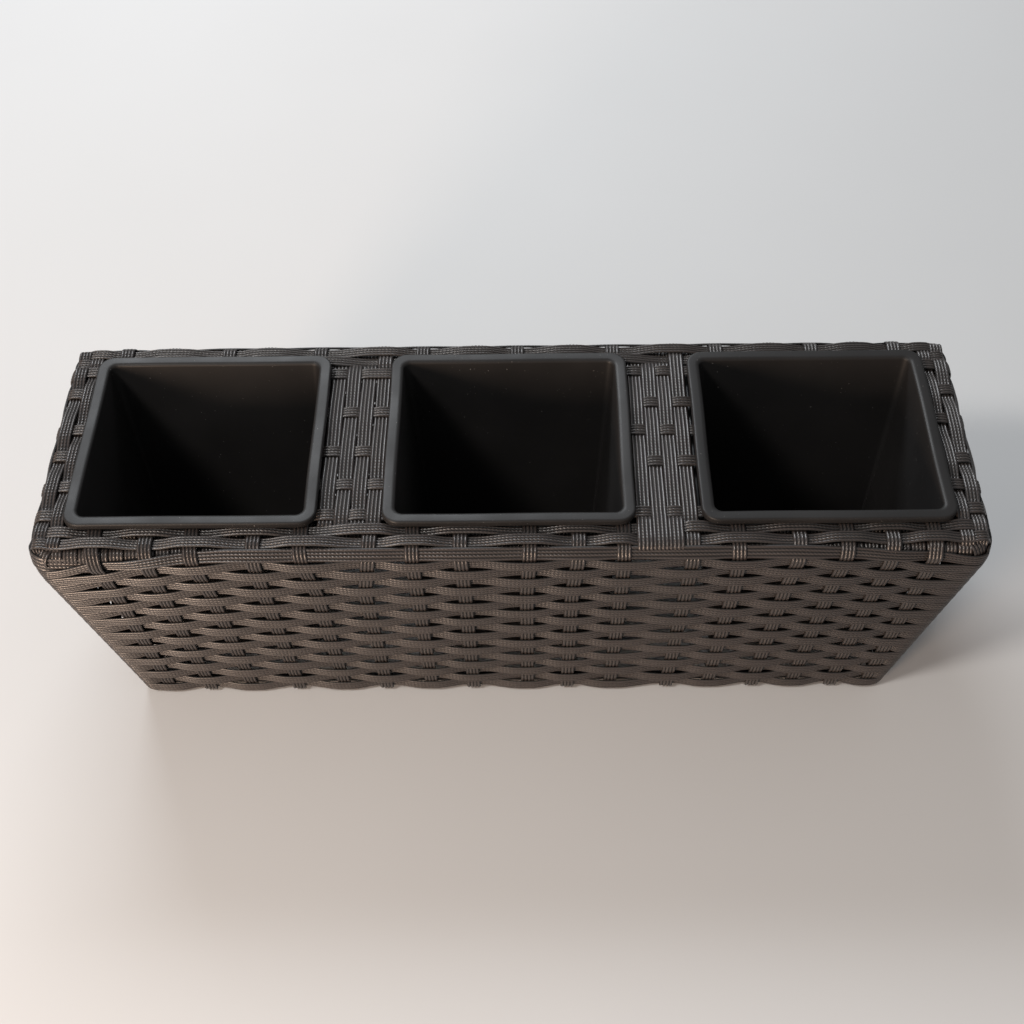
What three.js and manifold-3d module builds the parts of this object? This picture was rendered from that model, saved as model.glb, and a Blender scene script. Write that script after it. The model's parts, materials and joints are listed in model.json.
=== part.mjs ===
// Woven flower box: a steel frame clad in flat plastic strand, with three pots that lift out.
// Millimetres, +Z up. The origin is on the ground under the middle of the box,
// +X runs along the box and the front faces -Y.

import * as THREE from 'three';
import { mergeVertices } from 'three/addons/utils/BufferGeometryUtils.js';
import Module from 'manifold-3d';

const wasm = await Module();
wasm.setup();

// Box, measured on the middle of the woven skin where it is widest, just under the top edge
const BOX_LENGTH = 600;
const BOX_WIDTH = 190;
const END_LEAN_OFFSET = 40;
const SIDE_LEAN_OFFSET = 19;
const CORNER_RADIUS_TOP = 12;
const CORNER_RADIUS_BOTTOM = 8;
const GROUND_CLEARANCE = 3.2;

// Rows of weave: row 1 lies tilted over the top edge, and the wall leans in below it
const PLAIN_ROWS = 16;
const ROW_PITCH = 9.77;
const SECOND_ROW_HEIGHT = 9.4;
const EDGE_ROW_HEIGHT = 7.05;
const EDGE_ROW_OFFSET_SIDE = 6.2;
const EDGE_ROW_OFFSET_END = 2.5;
const TOP_ROW_WIDTH = 9.25;
const ROW_GAP = 0.5;
const TOP_ROW_GAP = 1.2;
const EDGE_GAP = 1.6;

// Strand, and how far a row's middle stands off the middle of the stake that it crosses
const STRAND_WIDTH = 9.2;
const STRAND_THICKNESS = 1.2;
const ROW_OFFSET = 2.3;
const CORNER_ROW_OFFSET = 2;

// Gap between pieces that rest on each other
const SEAT_GAP = 0.3;

// Stakes: the upright strands. The long walls have three groups, the end walls one
const STAKES_LEFT = 8;
const STAKES_MIDDLE = 3;
const STAKES_RIGHT = 6;
const STAKES_END = 6;
const STAKE_INSET_LEFT = 41;
const STAKE_INSET_RIGHT = 35;
const STAKE_INSET_END = 34;
const MIDDLE_GAP_LEFT = 30;
const MIDDLE_GAP_RIGHT = 13;
const DIVIDER_GAP_LEFT = 28;
const DIVIDER_GAP_RIGHT = 13.5;
const STAKE_FAN_SIDE = 0.055;
const STAKE_FAN_END = 0.15;
const STAKE_GROUND_GAP = 1.8;
const HOOK_LENGTH = 9;
const HOOK_BITE_DEPTH = 0.2;

// Steel frame
const TOP_RAIL_RADIUS = 4.5;
const TOP_RAIL_BEND_RADIUS = 8;
const SIDE_RAIL_CLEARANCE = 1.9;
const END_RAIL_CLEARANCE = 1.2;
const RAIL_WINDING_THICKNESS = 0.6;
const INNER_ROD_RADIUS = 2;
const ROD_WINDING_THICKNESS = 0.8;
const BOTTOM_ROD_RADIUS = 3;
const POST_RADIUS = 3;
const POST_BORE_RADIUS = 2;
const POST_OFFSET = 0.7;

// Glides plugged into the posts
const GLIDE_RADIUS = 4.6;
const GLIDE_HEIGHT = 2.6;
const GLIDE_STEM_HEIGHT = 9;

// Pots
const POT_COUNT = 3;
const END_STRIP_WIDTH = 18;
const SIDE_STRIP_WIDTH = 13.8;
const DIVIDER_WIDTH = 41;
const POT_DEPTH = 152;
const POT_DRAFT = 0.069;
const POT_THICKNESS = 1.5;
const POT_CORNER_RADIUS = 9;
const RIM_FLANGE_WIDTH = 6.8;
const RIM_HEIGHT = 4;
const RIM_THICKNESS = 1.8;
const RIM_EDGE_RADIUS = 0.8;
const RIM_CORNER_RADIUS = 14;
const POT_SIDE_CLEARANCE = 0.8;
const POT_END_CLEARANCE = 1.5;
const POT_TIE_CLEARANCE = 3.2;

// Weave of the dividers between the pots
const DIVIDER_STRANDS = 4;
const DIVIDER_STRAND_PITCH = 9.4;
const DIVIDER_TIES = 5;
const TIE_INSET = 6.5;
const TIE_LEG_LENGTH = 9.5;
const DIVIDER_OVER_OFFSET = 2.05;
const DIVIDER_UNDER_OFFSET = 1.1;

// Places worked out from the sizes above
const LAST_ROW = PLAIN_ROWS + 2;
const OUTER_ROW = 0;
const INNER_ROW = -1;
const WALL_HEIGHT = PLAIN_ROWS * ROW_PITCH + SECOND_ROW_HEIGHT;
const TOP_LEVEL = GROUND_CLEARANCE + WALL_HEIGHT + EDGE_ROW_HEIGHT;
const UNDER_WEAVE = ROW_OFFSET + STRAND_THICKNESS / 2 + SEAT_GAP;
const SIDE = {
  half: BOX_WIDTH / 2,
  lean: SIDE_LEAN_OFFSET,
  edge: EDGE_ROW_OFFSET_SIDE,
  fan: STAKE_FAN_SIDE,
};
const END = {
  half: BOX_LENGTH / 2,
  lean: END_LEAN_OFFSET,
  edge: EDGE_ROW_OFFSET_END,
  fan: STAKE_FAN_END,
};
const RIM_WIDTH = 2 * (SIDE.half - SIDE.edge - SIDE_STRIP_WIDTH);
const RIMS_LENGTH = 2 * (END.half - END.edge - END_STRIP_WIDTH) - (POT_COUNT - 1) * DIVIDER_WIDTH;
const RIM_LENGTH = RIMS_LENGTH / POT_COUNT;
const POT_PITCH = RIM_LENGTH + DIVIDER_WIDTH;
const RIM_TOP = TOP_LEVEL + UNDER_WEAVE + RIM_HEIGHT;

// A hexagon or an octagon is named by the radius of its flats, and reaches further at its corners
const HEXAGON = 6;
const OCTAGON = 8;
const reach = (radius, sides) => radius / Math.cos(Math.PI / sides);
const RAIL_BORE = TOP_RAIL_RADIUS + SEAT_GAP;
const RAIL_WOUND = RAIL_BORE + RAIL_WINDING_THICKNESS;
const RAIL_LEVEL = TOP_LEVEL - UNDER_WEAVE - RAIL_WOUND;
const SIDE_RAIL = SIDE.half - UNDER_WEAVE - RAIL_WOUND - SIDE_RAIL_CLEARANCE;
const END_RAIL = END.half - UNDER_WEAVE - RAIL_WOUND - END_RAIL_CLEARANCE;
const ROD_BORE = INNER_ROD_RADIUS + SEAT_GAP;
const ROD_WOUND = ROD_BORE + ROD_WINDING_THICKNESS;
const ROD_LEVEL = TOP_LEVEL - UNDER_WEAVE - reach(ROD_WOUND, HEXAGON);
const HOOK_TO_ROD = STRAND_THICKNESS - HOOK_BITE_DEPTH + ROD_WOUND;
const SIDE_ROD = RIM_WIDTH / 2 - RIM_FLANGE_WIDTH + POT_SIDE_CLEARANCE + HOOK_TO_ROD;
const END_ROD = POT_PITCH + RIM_LENGTH / 2 - RIM_FLANGE_WIDTH + POT_END_CLEARANCE + HOOK_TO_ROD;
const TIE_HALF = DIVIDER_WIDTH / 2 + RIM_FLANGE_WIDTH - POT_TIE_CLEARANCE;
const DIVIDER_ROD = TIE_HALF - STRAND_THICKNESS - SEAT_GAP - INNER_ROD_RADIUS;

const MATERIALS = {
  strand: new THREE.MeshStandardMaterial({ color: '#4b4743', roughness: 0.5, metalness: 0 }),
  steel: new THREE.MeshStandardMaterial({ color: '#2a2b2d', roughness: 0.45, metalness: 0.6 }),
  pot: new THREE.MeshStandardMaterial({ color: '#3f3f40', roughness: 0.6, metalness: 0 }),
  glide: new THREE.MeshStandardMaterial({ color: '#1d1d1e', roughness: 0.7, metalness: 0 }),
};

const X = new THREE.Vector3(1, 0, 0);
const Y = new THREE.Vector3(0, 1, 0);
const Z = new THREE.Vector3(0, 0, 1);

// Evenly spaced numbers from first to last
function spread(first, last, count) {
  return Array.from({ length: count }, (_, i) => first + ((last - first) * i) / (count - 1));
}

// Closed skin over a row of equal rings. A row that isn't a loop gets a flat cap at each end
function skin(rings, loop = false) {
  const size = rings[0].length;
  const index = [];
  const bands = loop ? rings.length : rings.length - 1;
  for (let r = 0; r < bands; r += 1) {
    const a = r * size;
    const b = ((r + 1) % rings.length) * size;
    for (let i = 0; i < size; i += 1) {
      const j = (i + 1) % size;
      index.push(a + i, a + j, b + j, a + i, b + j, b + i);
    }
  }
  if (!loop) {
    const end = (rings.length - 1) * size;
    for (let i = 1; i < size - 1; i += 1) {
      index.push(0, i + 1, i, end, end + i, end + i + 1);
    }
  }
  const geometry = new THREE.BufferGeometry().setFromPoints(rings.flat());
  geometry.setIndex(index);
  return faceOut(geometry);
}

// Turns the faces round where a skin was wound inside out
function faceOut(geometry) {
  const points = geometry.getAttribute('position');
  const index = geometry.getIndex();
  const corner = (i) => new THREE.Vector3().fromBufferAttribute(points, index.getX(i));
  let volume = 0;
  for (let i = 0; i < index.count; i += 3) {
    volume += corner(i).dot(corner(i + 1).cross(corner(i + 2)));
  }
  if (volume < 0) {
    index.array.reverse();
  }
  geometry.computeVertexNormals();
  return geometry;
}

// A geometry as a solid that can be joined or cut, and a solid as a geometry
function solid(geometry) {
  const bare = geometry.clone();
  bare.deleteAttribute('normal');
  bare.deleteAttribute('uv');
  const merged = mergeVertices(bare, 1e-4);
  return new wasm.Manifold(new wasm.Mesh({
    numProp: 3,
    vertProperties: new Float32Array(merged.getAttribute('position').array),
    triVerts: new Uint32Array(merged.getIndex().array),
  }));
}

function surface(body) {
  const mesh = body.getMesh();
  const geometry = new THREE.BufferGeometry();
  geometry.setAttribute('position', new THREE.Float32BufferAttribute(mesh.vertProperties, 3));
  geometry.setIndex(Array.from(mesh.triVerts));
  geometry.computeVertexNormals();
  return geometry;
}

function joined(geometries) {
  return surface(geometries.map(solid).reduce((sum, next) => sum.add(next)));
}

function trimmed(geometry, block) {
  return surface(solid(geometry).intersect(solid(block)));
}

function mesh(name, geometry, material, position = [0, 0, 0]) {
  const piece = new THREE.Mesh(geometry, material);
  piece.name = name;
  piece.position.set(...position);
  return piece;
}

// Profile of a wall. Edge 0 is where the top strip ends and row 1 begins. Row n lies between
// the edges n - 1 and n, so the rows of the top strip are 0 and -1
function edgeLevel(edge) {
  if (edge <= 0) return TOP_LEVEL;
  if (edge <= 1) return TOP_LEVEL - EDGE_ROW_HEIGHT * edge;
  if (edge <= 2) return TOP_LEVEL - EDGE_ROW_HEIGHT - SECOND_ROW_HEIGHT * (edge - 1);
  return GROUND_CLEARANCE + ROW_PITCH * (LAST_ROW - edge);
}

// How far down the leaning wall a level is, from 0 at edge 1 to 1 at the last row's lower edge
function depthAt(level) {
  return Math.max((TOP_LEVEL - EDGE_ROW_HEIGHT - level) / WALL_HEIGHT, 0);
}

function outAt(profile, level) {
  return profile.half - profile.lean * depthAt(level);
}

function edgeOut(profile, edge) {
  if (edge <= 0) return profile.half - profile.edge + TOP_ROW_WIDTH * edge;
  if (edge <= 1) return profile.half - profile.edge * (1 - edge);
  return outAt(profile, edgeLevel(edge));
}

function cornerRadiusAt(level) {
  return THREE.MathUtils.lerp(CORNER_RADIUS_TOP, CORNER_RADIUS_BOTTOM, depthAt(level));
}

// How much the stakes have drawn together at a level
function fanAt(profile, level) {
  return 1 - (profile.fan * (TOP_LEVEL - level)) / (TOP_LEVEL - GROUND_CLEARANCE);
}

// The walls, going round the box. Each has a frame of its own, where X runs along it, it faces
// -Y, and its stakes stand from left to right, and its group is turned to its place
const LONG_STAKES = [
  ...spread(-END.half + STAKE_INSET_LEFT, -MIDDLE_GAP_LEFT, STAKES_LEFT),
  ...spread(MIDDLE_GAP_RIGHT, POT_PITCH / 2 - DIVIDER_GAP_LEFT, STAKES_MIDDLE),
  ...spread(POT_PITCH / 2 + DIVIDER_GAP_RIGHT, END.half - STAKE_INSET_RIGHT, STAKES_RIGHT),
];
const SHORT_STAKES = spread(-SIDE.half + STAKE_INSET_END, SIDE.half - STAKE_INSET_END, STAKES_END);
const BACK_STAKES = LONG_STAKES.map((at) => -at).reverse();
const WALLS = [
  { name: 'front', profile: SIDE, next: END, stakes: LONG_STAKES, rod: SIDE_ROD, rail: SIDE_RAIL },
  { name: 'right', profile: END, next: SIDE, stakes: SHORT_STAKES, rod: END_ROD, rail: END_RAIL },
  { name: 'back', profile: SIDE, next: END, stakes: BACK_STAKES, rod: SIDE_ROD, rail: SIDE_RAIL },
  { name: 'left', profile: END, next: SIDE, stakes: SHORT_STAKES, rod: END_ROD, rail: END_RAIL },
];
WALLS.forEach((wall, i) => {
  wall.turn = (i * Math.PI) / 2;
  wall.first = i === 0 ? 0 : WALLS[i - 1].first + WALLS[i - 1].stakes.length;
  wall.group = new THREE.Group();
  wall.group.rotation.z = wall.turn;
});

// A station is a place that a row passes, on a wall or on the corner at a wall's right end,
// with the distance by which the row stands off the middle of the weave there
function onWall(wall, at, offset) {
  const point = (edge) => new THREE.Vector3(
    at * fanAt(wall.profile, edgeLevel(edge)),
    -edgeOut(wall.profile, edge),
    edgeLevel(edge),
  );
  return { point, along: X, offset };
}

function onCorner(wall, degrees, offset) {
  const angle = THREE.MathUtils.degToRad(degrees);
  const point = (edge) => {
    const radius = cornerRadiusAt(edgeLevel(edge));
    return new THREE.Vector3(
      edgeOut(wall.next, edge) - radius + radius * Math.sin(angle),
      -(edgeOut(wall.profile, edge) - radius + radius * Math.cos(angle)),
      edgeLevel(edge),
    );
  };
  return { point, along: new THREE.Vector3(Math.cos(angle), Math.sin(angle), 0), offset };
}

// Half of the gap that is left at an edge between the rows on its two sides
function halfGap(edge) {
  if (edge === 0 || edge === 1) return EDGE_GAP / 2;
  return (edge === INNER_ROW ? TOP_ROW_GAP : ROW_GAP) / 2;
}

// Section of the strand of a row at a station, in the wall's frame
function section(row, station) {
  const upper = station.point(row - 1);
  const lower = station.point(row);
  const across = upper.clone().sub(lower).normalize();
  const out = station.along.clone().cross(across).normalize();
  upper.addScaledVector(across, -halfGap(row - 1));
  lower.addScaledVector(across, halfGap(row));
  const inner = station.offset - STRAND_THICKNESS / 2;
  const outer = station.offset + STRAND_THICKNESS / 2;
  return [
    lower.clone().addScaledVector(out, inner),
    upper.clone().addScaledVector(out, inner),
    upper.clone().addScaledVector(out, outer),
    lower.clone().addScaledVector(out, outer),
  ];
}

// Plain weave: 1 where a row passes outside a crossing, counted round the box, or else -1
function side(row, crossing) {
  return (row + crossing) % 2 === 0 ? 1 : -1;
}

// A row of the wall runs right round the box
function wallRow(row) {
  const rings = [];
  for (const wall of WALLS) {
    const last = wall.first + wall.stakes.length - 1;
    const stations = [
      ...wall.stakes.map((at, i) => onWall(wall, at, ROW_OFFSET * side(row, wall.first + i))),
      onCorner(wall, 20, CORNER_ROW_OFFSET * side(row, last)),
      onCorner(wall, 70, CORNER_ROW_OFFSET * side(row, last + 1)),
    ];
    for (const station of stations) {
      rings.push(section(row, station).map((point) => point.applyAxisAngle(Z, wall.turn)));
    }
  }
  return skin(rings, true);
}

// The outline of the top strip, just inside row 1, as a block in a wall's frame
function topOutline(wall) {
  const inside = -EDGE_GAP / 2 / TOP_ROW_WIDTH;
  const outline = WALLS.flatMap((each) => [
    onWall(each, each.stakes[0], 0),
    onWall(each, each.stakes[each.stakes.length - 1], 0),
    onCorner(each, 20, 0),
    onCorner(each, 70, 0),
  ].map((station) => station.point(inside).applyAxisAngle(Z, each.turn - wall.turn)));
  const ring = (height) => outline.map((point) => point.clone().setZ(TOP_LEVEL + height));
  return skin([ring(-UNDER_WEAVE), ring(UNDER_WEAVE)]);
}

// A strand of the top strip weaves over and under the wall's stakes and then, at each corner,
// over and under the two strands of the next wall
function topStrand(wall, row) {
  const { first, stakes, next } = wall;
  const end = first + stakes.length;
  const lap = (STRAND_THICKNESS + SEAT_GAP) / 2;
  const half = STRAND_WIDTH / 2;
  const outerTip = edgeOut(next, 0);
  const outerEdge = edgeOut(next, -1) + halfGap(-1);
  const innerTip = edgeOut(next, -1) - halfGap(-1);
  const innerEdge = edgeOut(next, -2) + halfGap(-2);
  const stations = [
    onWall(wall, -outerTip, lap * side(row, first - 2)),
    onWall(wall, -outerEdge, lap * side(row, first - 2)),
    onWall(wall, -innerTip, lap * side(row, first - 1)),
    onWall(wall, -innerEdge, lap * side(row, first - 1)),
    onWall(wall, stakes[0] - half, ROW_OFFSET * side(row, first)),
    ...stakes.map((at, i) => onWall(wall, at, ROW_OFFSET * side(row, first + i))),
    onWall(wall, stakes[stakes.length - 1] + half, ROW_OFFSET * side(row, end - 1)),
    onWall(wall, innerEdge, lap * side(row, end)),
    onWall(wall, innerTip, lap * side(row, end)),
    onWall(wall, outerEdge, lap * side(row, end + 1)),
    onWall(wall, outerTip, lap * side(row, end + 1)),
  ];
  return trimmed(skin(stations.map((station) => section(row, station))), topOutline(wall));
}

// Ring of points round a centre, in the plane of u and v, with a flat or a corner on v
function polygon(centre, u, v, radius, sides, cornerOnV = false) {
  const far = reach(radius, sides);
  const shift = cornerOnV ? 0 : 0.5;
  return Array.from({ length: sides }, (_, i) => {
    const angle = (2 * Math.PI * (i + shift)) / sides;
    return centre.clone()
      .addScaledVector(v, far * Math.cos(angle))
      .addScaledVector(u, far * Math.sin(angle));
  });
}

// Strand wound round a rod that lies along X: a sleeve, with the rod's clearance as its bore
function sleeve(length, bore, radius, sides) {
  const ring = (x, r) => polygon(new THREE.Vector3(x, 0, 0), Y, Z, r, sides, sides === HEXAGON);
  const end = length / 2;
  return skin([ring(-end, radius), ring(end, radius), ring(end, bore), ring(-end, bore)], true);
}

// A stake hooks over the inner rod, runs out over the top edge and goes down the wall
function stake(wall, at) {
  const hook = wall.rod - ROD_WOUND + HOOK_BITE_DEPTH - STRAND_THICKNESS / 2;
  const place = (out, level) => ({ out, level, at: at * fanAt(wall.profile, level) });
  const path = [
    { out: hook, level: TOP_LEVEL - HOOK_LENGTH, at },
    { out: hook, level: TOP_LEVEL, at },
    place(edgeOut(wall.profile, 0), TOP_LEVEL),
    place(edgeOut(wall.profile, 1), edgeLevel(1)),
    place(outAt(wall.profile, STAKE_GROUND_GAP), STAKE_GROUND_GAP),
  ];
  const heading = (from, to) => new THREE.Vector2(to.out - from.out, to.level - from.level).normalize();
  const rings = path.map((here, i) => {
    const before = i === 0 ? heading(here, path[1]) : heading(path[i - 1], here);
    const after = i === path.length - 1 ? before : heading(here, path[i + 1]);
    const mean = before.clone().add(after).normalize();
    const mitre = STRAND_THICKNESS / 2 / mean.dot(before);
    const corner = (across, thick) => new THREE.Vector3(
      here.at + (across * STRAND_WIDTH) / 2,
      -(here.out - thick * mitre * mean.y),
      here.level + thick * mitre * mean.x,
    );
    return [corner(-1, -1), corner(1, -1), corner(1, 1), corner(-1, 1)];
  });
  return skin(rings);
}

// The stakes of a wall are held by the strand wound round its inner rod
function stakes(wall, windingLength) {
  const holder = sleeve(windingLength, ROD_BORE, ROD_WOUND, HEXAGON);
  holder.translate(0, -wall.rod, ROD_LEVEL);
  return joined([holder, ...wall.stakes.map((at) => stake(wall, at))]);
}

// A divider's strands run from front to back over and under its ties
function dividerStrand(across, ties, half, parity) {
  const middle = (ties.length - 1) / 2;
  const offset = (i) => {
    if (side(parity, i) < 0) return -DIVIDER_UNDER_OFFSET;
    return i === middle ? DIVIDER_UNDER_OFFSET : DIVIDER_OVER_OFFSET;
  };
  const places = [
    [-half, offset(0)],
    ...ties.map((y, i) => [y, offset(i)]),
    [half, offset(ties.length - 1)],
  ];
  return skin(places.map(([y, z]) => [[-1, -1], [1, -1], [1, 1], [-1, 1]].map(([a, b]) => (
    new THREE.Vector3(across + (a * STRAND_WIDTH) / 2, y, z + (b * STRAND_THICKNESS) / 2)
  ))));
}

// A tie lies across the strands, and its ends are turned down round the divider's two rods
function dividerTie(y) {
  const outer = TIE_HALF;
  const inner = TIE_HALF - STRAND_THICKNESS;
  const top = STRAND_THICKNESS / 2;
  const outline = new THREE.Shape();
  outline.moveTo(-outer, top - TIE_LEG_LENGTH);
  outline.lineTo(-inner, top - TIE_LEG_LENGTH);
  outline.lineTo(-inner, -top);
  outline.lineTo(inner, -top);
  outline.lineTo(inner, top - TIE_LEG_LENGTH);
  outline.lineTo(outer, top - TIE_LEG_LENGTH);
  outline.lineTo(outer, top);
  outline.lineTo(-outer, top);
  const geometry = new THREE.ExtrudeGeometry(outline, { depth: STRAND_WIDTH, bevelEnabled: false });
  geometry.rotateX(Math.PI / 2);
  geometry.translate(0, y + STRAND_WIDTH / 2, 0);
  return geometry;
}

function dividerWeave() {
  const half = SIDE_ROD - HOOK_TO_ROD - SEAT_GAP;
  const ties = spread(-half + TIE_INSET, half - TIE_INSET, DIVIDER_TIES);
  const edge = ((DIVIDER_STRANDS - 1) * DIVIDER_STRAND_PITCH) / 2;
  const strands = spread(-edge, edge, DIVIDER_STRANDS);
  return joined([
    ...ties.map(dividerTie),
    ...strands.map((across, i) => dividerStrand(across, ties, half, i)),
  ]);
}

// Rounded rectangle about the Z axis, as a ring of points
function roundedRing(halfX, halfY, radius, level) {
  const quarters = [[1, -1, -90], [1, 1, 0], [-1, 1, 90], [-1, -1, 180]];
  return quarters.flatMap(([signX, signY, start]) => [0, 30, 60, 90].map((degrees) => {
    const angle = THREE.MathUtils.degToRad(start + degrees);
    return new THREE.Vector3(
      signX * (halfX - radius) + radius * Math.cos(angle),
      signY * (halfY - radius) + radius * Math.sin(angle),
      level,
    );
  }));
}

// A pot is a drafted box that hangs by a flat rim, which is turned down round its edge.
// Its own origin is at the middle of the rim's top
function pot() {
  const ring = (inset, level) => {
    const radius = inset < RIM_FLANGE_WIDTH
      ? RIM_CORNER_RADIUS - inset
      : POT_CORNER_RADIUS - (inset - RIM_FLANGE_WIDTH) / 2;
    return roundedRing(RIM_LENGTH / 2 - inset, RIM_WIDTH / 2 - inset, radius, level);
  };
  const inside = RIM_FLANGE_WIDTH + POT_THICKNESS;
  const draft = POT_DRAFT * (POT_DEPTH - RIM_THICKNESS);
  return skin([
    ring(RIM_FLANGE_WIDTH + draft, -POT_DEPTH),
    ring(RIM_FLANGE_WIDTH, -RIM_THICKNESS),
    ring(POT_THICKNESS, -RIM_THICKNESS),
    ring(POT_THICKNESS, -RIM_HEIGHT),
    ring(0, -RIM_HEIGHT),
    ring(0, -RIM_EDGE_RADIUS),
    ring(RIM_EDGE_RADIUS, 0),
    ring(inside, 0),
    ring(inside + draft, -POT_DEPTH + POT_THICKNESS),
  ]);
}

// Top rail: one tube bent to a loop
function topRail() {
  const rings = WALLS.flatMap((wall) => [0, 45, 90].map((degrees) => {
    const angle = THREE.MathUtils.degToRad(degrees);
    const next = wall.rail === SIDE_RAIL ? END_RAIL : SIDE_RAIL;
    const out = new THREE.Vector3(Math.sin(angle), -Math.cos(angle), 0);
    const centre = new THREE.Vector3(next - TOP_RAIL_BEND_RADIUS, -wall.rail + TOP_RAIL_BEND_RADIUS, 0);
    centre.addScaledVector(out, TOP_RAIL_BEND_RADIUS);
    return polygon(centre, out, Z, TOP_RAIL_RADIUS, OCTAGON)
      .map((point) => point.applyAxisAngle(Z, wall.turn));
  }));
  return skin(rings, true);
}

// Middle of a corner post at a level: the post leans with the corner of the weave
function postCentre(signX, signY, level) {
  const inset = cornerRadiusAt(level) - POST_OFFSET;
  return new THREE.Vector3(
    signX * (outAt(END, level) - inset),
    signY * (outAt(SIDE, level) - inset),
    level,
  );
}

// The pieces of the frame
const frame = new THREE.Group();
const CROSS_ROD_LENGTH = 2 * (SIDE_ROD - ROD_WOUND - SEAT_GAP);
const INNER_ROD_LENGTH = 2 * (END_RAIL - RAIL_WOUND - SEAT_GAP);
const POST_TOP = RAIL_LEVEL - TOP_RAIL_RADIUS - SEAT_GAP;
const POST_FOOT = GLIDE_HEIGHT + SEAT_GAP;
const BOTTOM_ROD_LEVEL = POST_FOOT + reach(BOTTOM_ROD_RADIUS, HEXAGON) + SEAT_GAP;

function rod(name, radius, length, position, turn) {
  const far = reach(radius, HEXAGON);
  const geometry = new THREE.CylinderGeometry(far, far, length, HEXAGON);
  const piece = mesh(name, geometry, MATERIALS.steel, position);
  piece.rotation.z = turn;
  return piece;
}

frame.add(mesh('top_rail', topRail(), MATERIALS.steel, [0, 0, RAIL_LEVEL]));
for (const [name, out] of [['front', -SIDE_ROD], ['back', SIDE_ROD]]) {
  const position = [0, out, ROD_LEVEL];
  frame.add(rod(`inner_rod_${name}`, INNER_ROD_RADIUS, INNER_ROD_LENGTH, position, Math.PI / 2));
}
const CROSS_RODS = [
  -END_ROD,
  -POT_PITCH / 2 - DIVIDER_ROD,
  -POT_PITCH / 2 + DIVIDER_ROD,
  POT_PITCH / 2 - DIVIDER_ROD,
  POT_PITCH / 2 + DIVIDER_ROD,
  END_ROD,
];
CROSS_RODS.forEach((x, i) => {
  const position = [x, 0, ROD_LEVEL];
  frame.add(rod(`cross_rod_${i + 1}`, INNER_ROD_RADIUS, CROSS_ROD_LENGTH, position, 0));
});

for (const [name, signX, signY] of [
  ['front_left', -1, -1],
  ['front_right', 1, -1],
  ['back_right', 1, 1],
  ['back_left', -1, 1],
]) {
  const ring = (level, radius, sides) => polygon(postCentre(signX, signY, level), X, Y, radius, sides);
  frame.add(mesh(`corner_post_${name}`, skin([
    ring(POST_FOOT, POST_RADIUS, HEXAGON),
    ring(POST_TOP, POST_RADIUS, HEXAGON),
    ring(POST_TOP, POST_BORE_RADIUS, HEXAGON),
    ring(POST_FOOT, POST_BORE_RADIUS, HEXAGON),
  ], true), MATERIALS.steel));
  const centre = postCentre(signX, signY, GLIDE_HEIGHT);
  const disc = (level) => polygon(centre.clone().setZ(level), X, Y, GLIDE_RADIUS, OCTAGON);
  frame.add(mesh(`glide_${name}`, skin([
    disc(0),
    disc(GLIDE_HEIGHT),
    ring(GLIDE_HEIGHT, POST_BORE_RADIUS - SEAT_GAP, OCTAGON),
    ring(GLIDE_HEIGHT + GLIDE_STEM_HEIGHT, POST_BORE_RADIUS - SEAT_GAP, OCTAGON),
  ]), MATERIALS.glide));
}

// Each wall's bottom rod runs between two posts, inside the weave
function bottomRod(wall) {
  const far = reach(BOTTOM_ROD_RADIUS, HEXAGON);
  const inside = (UNDER_WEAVE + far) * Math.hypot(1, wall.profile.lean / WALL_HEIGHT);
  const out = outAt(wall.profile, BOTTOM_ROD_LEVEL) - inside;
  const post = postCentre(1, 1, BOTTOM_ROD_LEVEL);
  const along = wall.profile === SIDE ? post.x : post.y;
  const gap = reach(POST_RADIUS, HEXAGON) + SEAT_GAP + (wall.next.lean / WALL_HEIGHT) * far;
  const length = 2 * (along - gap);
  const position = [0, -out, BOTTOM_ROD_LEVEL];
  return rod(`bottom_rod_${wall.name}`, BOTTOM_ROD_RADIUS, length, position, Math.PI / 2);
}

// The weave, wall by wall, and the rows that run right round
const weave = new THREE.Group();
for (let row = 1; row <= LAST_ROW; row += 1) {
  weave.add(mesh(`weft_row_${String(row).padStart(2, '0')}`, wallRow(row), MATERIALS.strand));
}
for (const wall of WALLS) {
  const long = wall.profile === SIDE;
  const railLength = 2 * ((long ? END_RAIL : SIDE_RAIL) - TOP_RAIL_BEND_RADIUS);
  const windingLength = long ? 2 * (END_ROD + ROD_WOUND) : CROSS_ROD_LENGTH - 2 * SEAT_GAP;
  const railWinding = sleeve(railLength, RAIL_BORE, RAIL_WOUND, OCTAGON);
  wall.group.add(
    bottomRod(wall),
    mesh(`rail_winding_${wall.name}`, railWinding, MATERIALS.strand, [0, -wall.rail, RAIL_LEVEL]),
    mesh(`stakes_${wall.name}`, stakes(wall, windingLength), MATERIALS.strand),
    mesh(`top_strand_${wall.name}_outer`, topStrand(wall, OUTER_ROW), MATERIALS.strand),
    mesh(`top_strand_${wall.name}_inner`, topStrand(wall, INNER_ROW), MATERIALS.strand),
  );
  weave.add(wall.group);
}
[-1, 1].forEach((way, i) => {
  const position = [(way * POT_PITCH) / 2, 0, TOP_LEVEL];
  weave.add(mesh(`divider_weave_${i + 1}`, dividerWeave(), MATERIALS.strand, position));
});

const pots = new THREE.Group();
pots.position.z = RIM_TOP;
['pot_left', 'pot_middle', 'pot_right'].forEach((name, i) => {
  pots.add(mesh(name, pot(), MATERIALS.pot, [(i - (POT_COUNT - 1) / 2) * POT_PITCH, 0, 0]));
});

const planter = new THREE.Group();
planter.add(frame, weave, pots);

export default planter;
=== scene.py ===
# %% [markdown]
# # A woven flower box
# The box is a steel frame clad in flat plastic strand, with three plastic pots that hang in it
# by their rims. The imported model gives every size and every joint, so the first cell loads it.

# %% Load the imported model
import json
import math

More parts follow.
